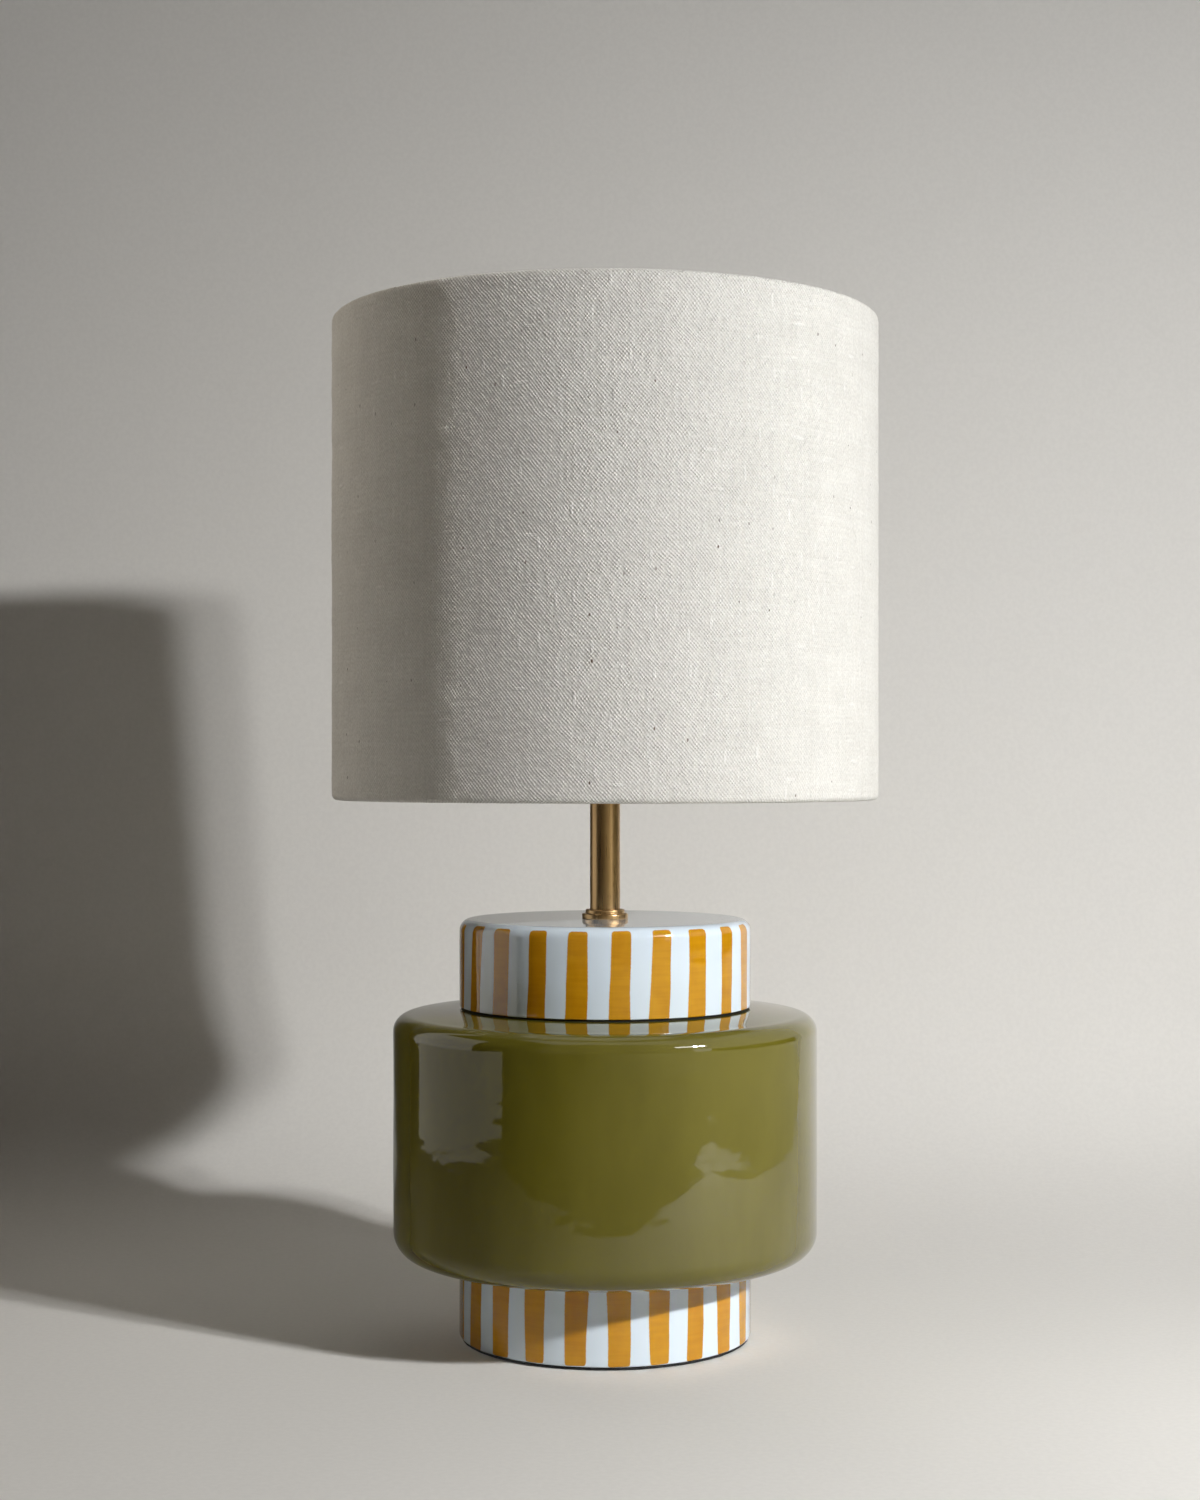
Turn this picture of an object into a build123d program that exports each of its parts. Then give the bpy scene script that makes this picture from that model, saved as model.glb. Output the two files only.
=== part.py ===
from build123d import *
import math
import os

os.makedirs("parts", exist_ok=True)

# Table lamp of three stacked ceramic pieces under a drum shade, in millimetres.
# Z is up, the table is z = 0 and the lamp's axis is the Z axis.
# The cord comes in at the back (+Y), and the switch bar runs along X.

# Ceramic stack
disc_diameter = 160.6
drum_diameter = 233.2
foot_height = 43.2
drum_height = 135.0
top_disc_height = 47.4
ceramic_wall = 7.0
drum_top_round = 9.0
drum_bottom_round = 13.0
disc_top_round = 6.0
disc_edge_round = 1.5
foot_bottom_round = 3.0
pour_hole_diameter = 40.0
gasket_thickness = 1.4
gasket_width = 9.0
gasket_inset = 1.0

# Underside
felt_thickness = 1.5
felt_inset = 3.0
cover_thickness = 3.0
cover_rebate = 2.0
cover_gap = 0.3

# Lamp pipe and the clamp inside the foot
pipe_diameter = 10.0
pipe_bore = 7.6
pipe_tail = 3.0
pipe_hole_gap = 0.75
fit_gap = 0.1
clamp_plate_diameter = 52.0
clamp_plate_thickness = 2.5
earth_tag_thickness = 0.8
earth_tag_diameter = 18.0
earth_tab_width = 6.0
earth_tab_reach = 24.0
lock_washer_diameter = 17.0
lock_washer_thickness = 2.2
nut_width = 17.0
nut_height = 5.0

# Stem
stem_diameter = 16.6
stem_wall = 1.2
stem_length = 67.2
flange_diameter = 25.4
flange_rim_height = 2.6
flange_rim_round = 0.8
flange_step = 0.9
flange_collar_wall = 0.6
flange_height = 5.2
flange_seat_height = 2.4
flange_washer_diameter = 20.0
flange_washer_thickness = 1.0
stem_cap_thickness = 3.0
stem_cap_lip = 0.8
stem_cap_spigot = 6.0
stem_cap_round = 0.6

# Lampholder
neck_diameter = 18.0
neck_height = 5.0
cup_diameter = 42.0
cup_wall = 1.2
cup_floor_height = 8.0
core_seat_height = 19.0
core_ledge = 3.8
core_ledge_depth = 4.0
dome_drop = 2.0
core_base_height = 10.0
core_base_gap = 0.3
core_floor = 5.0
core_height = 38.0
cup_overlap = 3.5
skirt_wall = 1.5
skirt_height = 33.0
skirt_lip_width = 1.7
skirt_lip_thickness = 1.5
shell_diameter = 28.8
shell_wall = 0.5
shell_gap = 0.2
shell_height = 22.0
shell_flange_width = 4.9
contact_thickness = 0.6
contact_width = 4.0
contact_tail = 4.5
contact_fold = 2.25
contact_rise = 2.9
contact_rivet_diameter = 2.4
terminal_offset = 11.0
terminal_head_diameter = 5.2
terminal_head_height = 5.0
terminal_stud_diameter = 3.0
live_stud_height = 9.0

# Switch
bar_diameter = 4.0
bar_gap = 0.4
bar_travel = 6.0
knob_diameter = 6.4
knob_length = 5.0
knob_clearance = 1.0
knob_round = 1.2
bridge_length = 6.0
bridge_width = 6.0
pocket_gap = 0.5

# Shade rings
shade_ring_diameter = 54.0
shade_ring_gap = 0.3
lower_ring_height = 4.0
upper_ring_height = 6.0
grip_count = 24
grip_diameter = 2.0
grip_depth = 0.7

# Shade
shade_diameter = 300.0
shade_height = 263.0
fitter_rise = 44.5
fabric_thickness = 0.8
liner_thickness = 0.5
glue_gap = 0.1
roll_gap = 0.3
liner_end_gap = 0.3
wire_diameter = 3.6
tuck_height = 6.0
notch_gap = 1.0
hub_bore = 42.0
hub_diameter = 60.0
hub_thickness = 2.0
spoke_count = 3
spoke_angle = 90.0
spoke_weld = 1.5
spoke_bend_position = 112.0
spoke_bend_radius = 12.0

# Bulb
bulb_gap = 0.3
bulb_globe_diameter = 60.0
bulb_neck_length = 4.0
bulb_waist_radius = 40.0
bulb_wall = 1.5
tip_diameter = 9.0
tip_height = 1.5
tip_round = 0.8
insulator_height = 4.0
insulator_rim = 1.0
cap_crest_diameter = 26.2
cap_depth = 0.9
cap_pitch = 3.62
cap_turns = 4
cap_seat = 1.0
cap_skirt_height = 6.0
cap_wall = 0.5
board_thickness = 1.6
driver_width = 16.0
driver_thickness = 1.2

# Wiring in the foot
inlet_height = 22.0
inlet_bore = 7.0
bush_diameter = 11.0
bush_flange_diameter = 16.0
bush_flange_thickness = 2.0
bush_lip_diameter = 13.6
bush_lip_thickness = 1.5
bush_gap = 0.2
block_length = 28.0
block_width = 16.0
block_height = 11.0
block_offset = 44.0
pole_count = 3
pole_pitch = 8.0
pole_bore = 3.4
pole_screw_diameter = 3.0
pole_screw_spread = 4.5
block_screw_diameter = 2.4
block_screw_head = 4.4
block_screw_head_height = 1.6
screw_gap = 0.05
wire_thickness = 2.4
wire_spread = 1.7
wire_bend = 8.0
wire_top_bend = 2.8
wire_run = 20.0
wire_insert = 4.0

# Radii used by several pieces
disc_radius = disc_diameter / 2
disc_bore_radius = disc_radius - ceramic_wall
drum_radius = drum_diameter / 2
pipe_radius = pipe_diameter / 2
pipe_hole_radius = pipe_radius + pipe_hole_gap
stem_radius = stem_diameter / 2
cup_radius = cup_diameter / 2
cup_bore_radius = cup_radius - cup_wall
skirt_radius = cup_bore_radius - fit_gap
skirt_bore_radius = skirt_radius - skirt_wall
shell_radius = shell_diameter / 2
wire_radius = wire_diameter / 2
shade_radius = shade_diameter / 2
cord_radius = wire_thickness / 2

# Heights, stacked from the table up
foot_z = felt_thickness
cover_top = foot_z + cover_thickness
foot_top = foot_z + foot_height
drum_z = foot_top + gasket_thickness
drum_top = drum_z + drum_height
top_disc_z = drum_top + gasket_thickness
top_disc_top = top_disc_z + top_disc_height
foot_ceiling = foot_top - ceramic_wall
clamp_plate_z = foot_ceiling - clamp_plate_thickness
earth_tag_z = clamp_plate_z - earth_tag_thickness
lock_washer_z = earth_tag_z - lock_washer_thickness
nut_z = lock_washer_z - nut_height
pipe_z = nut_z - pipe_tail
stem_z = top_disc_top + flange_seat_height
stem_top = stem_z + stem_length
holder_z = stem_top + stem_cap_thickness
pipe_top = holder_z + cup_floor_height
core_z = holder_z + core_seat_height
bar_z = core_z + core_base_height / 2
skirt_z = core_z + core_base_height
cup_top = skirt_z + cup_overlap
core_floor_z = skirt_z + core_floor
core_top = core_z + core_height
skirt_top = skirt_z + skirt_height
hub_z = cup_top + lower_ring_height
upper_ring_z = hub_z + hub_thickness
hub_middle = hub_z + hub_thickness / 2
shade_z = hub_middle - fitter_rise
shade_top = shade_z + shade_height
bulb_z = core_floor_z + contact_rise + bulb_gap


# Base: felt, cover and the three ceramic pieces with their gaskets

with BuildPart() as base_felt:
    with BuildSketch(Plane.XY):
        Circle(disc_radius - felt_inset)
    extrude(amount=felt_thickness)

rebate_radius = disc_bore_radius + cover_rebate
with BuildPart() as base_cover:
    with BuildSketch(Plane.XY.offset(foot_z)):
        Circle(rebate_radius - cover_gap)
    extrude(amount=cover_thickness)
    with BuildSketch(Plane.XY.offset(foot_z)):
        with Locations((0, block_offset)):
            with GridLocations(pole_pitch, 0, pole_count - 1, 1):
                Circle(block_screw_diameter / 2 + screw_gap)
    extrude(amount=cover_thickness, mode=Mode.SUBTRACT)

inlet_plane = Plane(origin=(0, disc_radius, inlet_height), x_dir=(1, 0, 0), z_dir=(0, 1, 0))
with BuildPart() as foot_disc:
    with BuildSketch(Plane.XY.offset(foot_z)):
        Circle(disc_radius)
    extrude(amount=foot_height)
    fillet(foot_disc.edges().group_by(Axis.Z)[-1], radius=disc_edge_round)
    fillet(foot_disc.edges().group_by(Axis.Z)[0], radius=foot_bottom_round)
    with BuildSketch(Plane.XY.offset(foot_z)):
        Circle(rebate_radius)
    extrude(amount=cover_thickness, mode=Mode.SUBTRACT)
    with BuildSketch(Plane.XY.offset(cover_top)):
        Circle(disc_bore_radius)
    extrude(amount=foot_ceiling - cover_top, mode=Mode.SUBTRACT)
    with BuildSketch(Plane.XY.offset(foot_ceiling)):
        Circle(pipe_hole_radius)
    extrude(amount=ceramic_wall, mode=Mode.SUBTRACT)
    with BuildSketch(inlet_plane):
        Circle(bush_diameter / 2 + bush_gap)
    extrude(amount=-2 * ceramic_wall, mode=Mode.SUBTRACT)

gasket_radius = disc_radius - gasket_inset
with BuildPart() as lower_gasket:
    with BuildSketch(Plane.XY.offset(foot_top)):
        Circle(gasket_radius)
        Circle(gasket_radius - gasket_width, mode=Mode.SUBTRACT)
    extrude(amount=gasket_thickness)

with BuildPart() as body_drum:
    with BuildSketch(Plane.XY.offset(drum_z)):
        Circle(drum_radius)
    extrude(amount=drum_height)
    fillet(body_drum.edges().group_by(Axis.Z)[-1], radius=drum_top_round)
    fillet(body_drum.edges().group_by(Axis.Z)[0], radius=drum_bottom_round)
    with BuildSketch(Plane.XY.offset(drum_z + ceramic_wall)):
        Circle(drum_radius - ceramic_wall)
    extrude(amount=drum_height - 2 * ceramic_wall, mode=Mode.SUBTRACT)
    with BuildSketch(Plane.XY.offset(drum_z)):
        Circle(pour_hole_diameter / 2)
    extrude(amount=drum_height, mode=Mode.SUBTRACT)

with BuildPart() as upper_gasket:
    with BuildSketch(Plane.XY.offset(drum_top)):
        Circle(gasket_radius)
        Circle(gasket_radius - gasket_width, mode=Mode.SUBTRACT)
    extrude(amount=gasket_thickness)

with BuildPart() as top_disc:
    with BuildSketch(Plane.XY.offset(top_disc_z)):
        Circle(disc_radius)
    extrude(amount=top_disc_height)
    fillet(top_disc.edges().group_by(Axis.Z)[-1], radius=disc_top_round)
    fillet(top_disc.edges().group_by(Axis.Z)[0], radius=disc_edge_round)
    with BuildSketch(Plane.XY.offset(top_disc_z)):
        Circle(disc_bore_radius)
    extrude(amount=top_disc_height - ceramic_wall, mode=Mode.SUBTRACT)
    with BuildSketch(Plane.XY.offset(top_disc_top - ceramic_wall)):
        Circle(pipe_hole_radius)
    extrude(amount=ceramic_wall, mode=Mode.SUBTRACT)


# Clamp: the pipe and what holds the stack together inside the foot

with BuildPart() as lamp_pipe:
    with BuildSketch(Plane.XY.offset(pipe_z)):
        Circle(pipe_radius)
        Circle(pipe_bore / 2, mode=Mode.SUBTRACT)
    extrude(amount=pipe_top - pipe_z)

with BuildPart() as clamp_plate:
    with BuildSketch(Plane.XY.offset(clamp_plate_z)):
        Circle(clamp_plate_diameter / 2)
        Circle(pipe_radius + fit_gap, mode=Mode.SUBTRACT)
    extrude(amount=clamp_plate_thickness)

with BuildPart() as earth_tag:
    with BuildSketch(Plane.XY.offset(earth_tag_z)):
        Circle(earth_tag_diameter / 2)
        with Locations((0, earth_tab_reach / 2)):
            Rectangle(earth_tab_width, earth_tab_reach)
        Circle(pipe_radius + fit_gap, mode=Mode.SUBTRACT)
    extrude(amount=earth_tag_thickness)

with BuildPart() as lock_washer:
    with BuildSketch(Plane.XY.offset(lock_washer_z)):
        Circle(lock_washer_diameter / 2)
        Circle(pipe_radius + fit_gap, mode=Mode.SUBTRACT)
    extrude(amount=lock_washer_thickness)

with BuildPart() as clamp_nut:
    with BuildSketch(Plane.XY.offset(nut_z)):
        RegularPolygon(nut_width / 2, 6, major_radius=False)
        Circle(pipe_radius + fit_gap, mode=Mode.SUBTRACT)
    extrude(amount=nut_height)


# Stem: washer, flange, tube and cap

flange_washer_radius = flange_washer_diameter / 2
with BuildPart() as flange_washer:
    with BuildSketch(Plane.XY.offset(top_disc_top)):
        Circle(flange_washer_radius)
        Circle(pipe_radius + fit_gap, mode=Mode.SUBTRACT)
    extrude(amount=flange_washer_thickness)

flange_radius = flange_diameter / 2
flange_socket_radius = stem_radius + fit_gap
flange_top = top_disc_top + flange_height
flange_rim_top = top_disc_top + flange_rim_height
with BuildPart() as stem_flange:
    with BuildSketch(Plane.XZ):
        with BuildLine():
            Polyline(
                (flange_socket_radius + flange_collar_wall, flange_top),
                (flange_socket_radius, flange_top),
                (flange_socket_radius, stem_z),
                (pipe_radius + fit_gap, stem_z),
                (pipe_radius + fit_gap, top_disc_top + flange_washer_thickness),
                (flange_washer_radius + fit_gap, top_disc_top + flange_washer_thickness),
                (flange_washer_radius + fit_gap, top_disc_top),
                (flange_radius, top_disc_top),
                (flange_radius, flange_rim_top),
                (flange_radius - flange_step, flange_rim_top),
            )
            Spline(
                (flange_radius - flange_step, flange_rim_top),
                (flange_socket_radius + flange_collar_wall, flange_top),
                tangents=((-1, 0), (0, 1)),
            )
        make_face()
    revolve(axis=Axis.Z)
    fillet(
        stem_flange.edges()
        .filter_by(GeomType.CIRCLE)
        .filter_by(lambda edge: abs(edge.radius - flange_radius) < fit_gap),
        radius=flange_rim_round,
    )

with BuildPart() as stem_tube:
    with BuildSketch(Plane.XY.offset(stem_z)):
        Circle(stem_radius)
        Circle(stem_radius - stem_wall, mode=Mode.SUBTRACT)
    extrude(amount=stem_length)

with BuildPart() as stem_cap:
    with BuildSketch(Plane.XY.offset(stem_top)):
        Circle(stem_radius + stem_cap_lip)
    extrude(amount=stem_cap_thickness)
    fillet(stem_cap.edges(), radius=stem_cap_round)
    with BuildSketch(Plane.XY.offset(stem_top)):
        Circle(stem_radius - stem_wall - fit_gap)
    extrude(amount=-stem_cap_spigot)
    with BuildSketch(Plane.XY.offset(stem_top - stem_cap_spigot)):
        Circle(pipe_radius + fit_gap)
    extrude(amount=stem_cap_spigot + stem_cap_thickness, mode=Mode.SUBTRACT)


# Lampholder: cup, skirt, porcelain core and its metal contacts

neck_radius = neck_diameter / 2
neck_top = holder_z + neck_height
dome_top = core_z - dome_drop
ledge_radius = cup_bore_radius - core_ledge
bar_hole_radius = bar_diameter / 2 + bar_gap
with BuildPart() as lampholder_cup:
    with BuildSketch(Plane.XZ):
        with BuildLine():
            Line((neck_radius, holder_z), (neck_radius, neck_top))
            Spline((neck_radius, neck_top), (cup_radius, dome_top), tangents=((1, 0), (0, 1)))
            Polyline(
                (cup_radius, dome_top),
                (cup_radius, cup_top),
                (cup_bore_radius, cup_top),
                (cup_bore_radius, core_z),
                (ledge_radius, core_z),
                (ledge_radius, core_z - core_ledge_depth),
                (neck_radius, pipe_top),
                (pipe_radius + fit_gap, pipe_top),
                (pipe_radius + fit_gap, holder_z),
                (neck_radius, holder_z),
            )
        make_face()
    revolve(axis=Axis.Z)
    with BuildSketch(Plane.YZ):
        with Locations((0, bar_z)):
            Circle(bar_hole_radius)
    extrude(amount=cup_diameter, both=True, mode=Mode.SUBTRACT)

with BuildPart() as lampholder_skirt:
    with BuildSketch(Plane.XY.offset(skirt_z)):
        Circle(skirt_radius)
        Circle(skirt_bore_radius, mode=Mode.SUBTRACT)
    extrude(amount=skirt_height)
    with BuildSketch(Plane.XY.offset(skirt_top - skirt_lip_thickness)):
        Circle(skirt_radius)
        Circle(skirt_bore_radius - skirt_lip_width, mode=Mode.SUBTRACT)
    extrude(amount=skirt_lip_thickness)

pocket_length = bridge_length + bar_travel + 2 * pocket_gap
pocket_width = bridge_width + 2 * pocket_gap
pocket_top = bar_z + bridge_width / 2 + pocket_gap
with BuildPart() as lampholder_core:
    with BuildSketch(Plane.XY.offset(core_z)):
        Circle(cup_bore_radius - core_base_gap)
    extrude(amount=core_base_height)
    with BuildSketch(Plane.XY.offset(skirt_z)):
        Circle(skirt_bore_radius - fit_gap)
    extrude(amount=core_top - skirt_z)
    with BuildSketch(Plane.XY.offset(core_floor_z)):
        Circle(shell_radius + shell_gap)
    extrude(amount=core_top - core_floor_z, mode=Mode.SUBTRACT)
    with BuildSketch(Plane.XY.offset(core_z)):
        Rectangle(pocket_length, pocket_width)
    extrude(amount=pocket_top - core_z, mode=Mode.SUBTRACT)
    with BuildSketch(Plane.XY.offset(pocket_top)):
        Circle(contact_rivet_diameter / 2 + fit_gap)
    extrude(amount=core_floor_z - pocket_top, mode=Mode.SUBTRACT)
    with BuildSketch(Plane.XY.offset(core_z)):
        with Locations((0, terminal_offset)):
            Circle(terminal_stud_diameter / 2 + fit_gap)
    extrude(amount=core_floor_z - core_z, mode=Mode.SUBTRACT)
    with BuildSketch(Plane.XY.offset(core_z)):
        with Locations((0, -terminal_offset)):
            Circle(terminal_stud_diameter / 2 + fit_gap)
    extrude(amount=live_stud_height + fit_gap, mode=Mode.SUBTRACT)
    with BuildSketch(Plane.YZ):
        with Locations((0, bar_z)):
            Circle(bar_hole_radius)
    extrude(amount=cup_diameter, both=True, mode=Mode.SUBTRACT)

with BuildPart() as screw_shell:
    with BuildSketch(Plane.XY.offset(core_floor_z)):
        Circle(shell_radius)
        Circle(shell_radius - shell_wall, mode=Mode.SUBTRACT)
    extrude(amount=shell_height)
    with BuildSketch(Plane.XY.offset(core_floor_z)):
        Circle(shell_radius)
        Circle(shell_radius - shell_flange_width, mode=Mode.SUBTRACT)
    extrude(amount=shell_wall)

contact_low = core_floor_z + contact_thickness / 2
contact_high = core_floor_z + contact_rise - contact_thickness / 2
with BuildPart() as centre_contact:
    with BuildSketch(Plane.XZ):
        with BuildLine():
            strip = Line((-contact_tail, contact_low), (contact_fold, contact_low))
            fold = TangentArc(strip @ 1, (contact_fold, contact_high), tangent=strip % 1)
            Line(fold @ 1, (-contact_fold, contact_high))
        trace(line_width=contact_thickness)
    extrude(amount=contact_width / 2, both=True)
    with BuildSketch(Plane.XY.offset(pocket_top)):
        Circle(contact_rivet_diameter / 2)
    extrude(amount=core_floor_z - pocket_top)

with BuildPart() as live_terminal:
    with BuildSketch(Plane.XY.offset(core_z - terminal_head_height)):
        with Locations((0, -terminal_offset)):
            Circle(terminal_head_diameter / 2)
    extrude(amount=terminal_head_height)
    with BuildSketch(Plane.XY.offset(core_z)):
        with Locations((0, -terminal_offset)):
            Circle(terminal_stud_diameter / 2)
    extrude(amount=live_stud_height)

with BuildPart() as neutral_terminal:
    with BuildSketch(Plane.XY.offset(core_z - terminal_head_height)):
        with Locations((0, terminal_offset)):
            Circle(terminal_head_diameter / 2)
    extrude(amount=terminal_head_height)
    with BuildSketch(Plane.XY.offset(core_z)):
        with Locations((0, terminal_offset)):
            Circle(terminal_stud_diameter / 2)
    extrude(amount=core_floor_z - core_z)


# Switch: the bar rests pushed to -X and travels to +X

bar_rest = -bar_travel / 2
bar_half = cup_radius + bar_travel / 2 + knob_clearance + knob_length
with BuildPart() as switch_bar:
    with BuildSketch(Plane.YZ.offset(bar_rest - bar_half)):
        with Locations((0, bar_z)):
            Circle(bar_diameter / 2)
    extrude(amount=2 * bar_half)
    with BuildSketch(Plane.YZ.offset(bar_rest - bar_half)):
        with Locations((0, bar_z)):
            Circle(knob_diameter / 2)
    extrude(amount=knob_length)
    with BuildSketch(Plane.YZ.offset(bar_rest + bar_half - knob_length)):
        with Locations((0, bar_z)):
            Circle(knob_diameter / 2)
    extrude(amount=knob_length)
    fillet(switch_bar.edges().group_by(Axis.X)[0], radius=knob_round)
    fillet(switch_bar.edges().group_by(Axis.X)[-1], radius=knob_round)

with BuildPart() as switch_bridge:
    with BuildSketch(Plane.YZ.offset(bar_rest - bridge_length / 2)):
        with Locations((0, bar_z)):
            Rectangle(bridge_width, bridge_width)
            Circle(bar_diameter / 2, mode=Mode.SUBTRACT)
    extrude(amount=bridge_length)


# Shade rings on the skirt, with grip grooves

shade_ring_radius = shade_ring_diameter / 2
grip_radius = shade_ring_radius + grip_diameter / 2 - grip_depth
with BuildPart() as lower_shade_ring:
    with BuildSketch(Plane.XY.offset(cup_top)):
        Circle(shade_ring_radius)
        Circle(skirt_radius + shade_ring_gap, mode=Mode.SUBTRACT)
        with PolarLocations(grip_radius, grip_count):
            Circle(grip_diameter / 2, mode=Mode.SUBTRACT)
    extrude(amount=lower_ring_height)

with BuildPart() as upper_shade_ring:
    with BuildSketch(Plane.XY.offset(upper_ring_z)):
        Circle(shade_ring_radius)
        Circle(skirt_radius + shade_ring_gap, mode=Mode.SUBTRACT)
        with PolarLocations(grip_radius, grip_count):
            Circle(grip_diameter / 2, mode=Mode.SUBTRACT)
    extrude(amount=upper_ring_height)


# Shade: wire frame, liner and the linen rolled over the rings

roll_bore = wire_radius + roll_gap
roll_radius = roll_bore + fabric_thickness
ring_radius = shade_radius - roll_radius
bottom_ring_z = shade_z + roll_radius
top_ring_z = shade_top - roll_radius
liner_radius = shade_radius - fabric_thickness - glue_gap
liner_bore_radius = liner_radius - liner_thickness

with BuildPart() as shade_top_ring:
    with BuildSketch(Plane.XZ):
        with Locations((ring_radius, top_ring_z)):
            Circle(wire_radius)
    revolve(axis=Axis.Z)

with BuildPart() as shade_bottom_ring:
    with BuildSketch(Plane.XZ):
        with Locations((ring_radius, bottom_ring_z)):
            Circle(wire_radius)
    revolve(axis=Axis.Z)

with BuildPart() as fitter_hub:
    with BuildSketch(Plane.XY.offset(hub_z)):
        Circle(hub_diameter / 2)
        Circle(hub_bore / 2, mode=Mode.SUBTRACT)
    extrude(amount=hub_thickness)

spoke_start = hub_diameter / 2 - spoke_weld
with BuildPart() as spoke:
    with BuildLine(Plane.XZ) as spoke_path:
        FilletPolyline(
            (spoke_start, hub_middle),
            (spoke_bend_position, hub_middle),
            (ring_radius, bottom_ring_z),
            radius=spoke_bend_radius,
        )
    with BuildSketch(Plane.YZ.offset(spoke_start)):
        with Locations((0, hub_middle)):
            Circle(wire_radius)
    sweep()
    add(fitter_hub.part, mode=Mode.SUBTRACT)
    add(shade_bottom_ring.part, mode=Mode.SUBTRACT)

with BuildPart() as fitter_spokes:
    with PolarLocations(0, spoke_count, start_angle=spoke_angle):
        add(spoke.part)

with BuildPart() as shade_liner:
    with BuildSketch(Plane.XY.offset(bottom_ring_z + wire_radius + liner_end_gap)):
        Circle(liner_radius)
        Circle(liner_bore_radius, mode=Mode.SUBTRACT)
    extrude(amount=top_ring_z - bottom_ring_z - 2 * (wire_radius + liner_end_gap))

tuck_outer = liner_bore_radius - glue_gap
tuck_inner = tuck_outer - fabric_thickness
tuck_low = bottom_ring_z + tuck_height
tuck_high = top_ring_z - tuck_height
notch_width = wire_diameter + 2 * notch_gap
notch_depth = 2 * roll_radius
notch_floor = bottom_ring_z - wire_radius
with BuildPart() as shade_fabric:
    with BuildSketch(Plane.XZ):
        with BuildLine():
            Polyline(
                (tuck_inner, tuck_low),
                (ring_radius - roll_radius, bottom_ring_z + wire_radius),
                (ring_radius - roll_radius, bottom_ring_z),
            )
            ThreePointArc(
                (ring_radius - roll_radius, bottom_ring_z),
                (ring_radius, shade_z),
                (shade_radius, bottom_ring_z),
            )
            Line((shade_radius, bottom_ring_z), (shade_radius, top_ring_z))
            ThreePointArc(
                (shade_radius, top_ring_z),
                (ring_radius, shade_top),
                (ring_radius - roll_radius, top_ring_z),
            )
            Polyline(
                (ring_radius - roll_radius, top_ring_z),
                (ring_radius - roll_radius, top_ring_z - wire_radius),
                (tuck_inner, tuck_high),
                (tuck_outer, tuck_high),
                (ring_radius - roll_bore, top_ring_z - wire_radius),
                (ring_radius - roll_bore, top_ring_z),
            )
            ThreePointArc(
                (ring_radius - roll_bore, top_ring_z),
                (ring_radius, top_ring_z + roll_bore),
                (ring_radius + roll_bore, top_ring_z),
            )
            Line((ring_radius + roll_bore, top_ring_z), (ring_radius + roll_bore, bottom_ring_z))
            ThreePointArc(
                (ring_radius + roll_bore, bottom_ring_z),
                (ring_radius, bottom_ring_z - roll_bore),
                (ring_radius - roll_bore, bottom_ring_z),
            )
            Polyline(
                (ring_radius - roll_bore, bottom_ring_z),
                (ring_radius - roll_bore, bottom_ring_z + wire_radius),
                (tuck_outer, tuck_low),
                (tuck_inner, tuck_low),
            )
        make_face()
    revolve(axis=Axis.Z)
    with BuildSketch(Plane.XY.offset(notch_floor)):
        with PolarLocations(liner_bore_radius - notch_depth / 2, spoke_count, start_angle=spoke_angle):
            Rectangle(notch_depth, notch_width)
    extrude(amount=tuck_low + notch_gap - notch_floor, mode=Mode.SUBTRACT)


# Bulb: an LED bulb on a screw cap

cap_z = bulb_z + tip_height + insulator_height
thread_top = cap_z + cap_turns * cap_pitch
seat_z = thread_top + cap_seat
cap_top = thread_top + cap_skirt_height
cap_radius = cap_crest_diameter / 2
cap_root_radius = cap_radius - cap_depth
cap_bore_radius = cap_root_radius - cap_wall
neck_end_z = cap_top + bulb_neck_length
globe_radius = bulb_globe_diameter / 2
bulb_neck_radius = cap_radius - cap_wall - fit_gap
waist_centre = bulb_neck_radius + bulb_waist_radius
centre_distance = globe_radius + bulb_waist_radius
globe_rise = math.sqrt(centre_distance**2 - waist_centre**2)
globe_middle = neck_end_z + globe_rise
split_z = globe_middle - globe_rise * globe_radius / centre_distance


def draw_bulb_outline(inset):
    # The waist arc and the globe arc meet on the line between their centres.
    neck_edge = bulb_neck_radius - inset
    reach = (globe_radius - inset) / centre_distance
    meeting = (waist_centre * reach, globe_middle - globe_rise * reach)
    globe_tip = globe_middle + globe_radius - inset
    Polyline((0, seat_z), (neck_edge, seat_z), (neck_edge, neck_end_z))
    waist_arc = TangentArc((neck_edge, neck_end_z), meeting, tangent=(0, 1))
    TangentArc(meeting, (0, globe_tip), tangent=waist_arc % 1)
    Line((0, globe_tip), (0, seat_z))


with BuildPart() as bulb_globe:
    with BuildSketch(Plane.XZ):
        with BuildLine():
            draw_bulb_outline(0)
        make_face()
        with BuildLine():
            draw_bulb_outline(bulb_wall)
        make_face(mode=Mode.SUBTRACT)
    revolve(axis=Axis.Z)
    split(bisect_by=Plane.XY.offset(split_z), keep=Keep.TOP)

with BuildPart() as bulb_housing:
    with BuildSketch(Plane.XZ):
        with BuildLine():
            draw_bulb_outline(0)
        make_face()
        with BuildLine():
            draw_bulb_outline(bulb_wall)
        make_face(mode=Mode.SUBTRACT)
    revolve(axis=Axis.Z)
    split(bisect_by=Plane.XY.offset(split_z), keep=Keep.BOTTOM)

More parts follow.
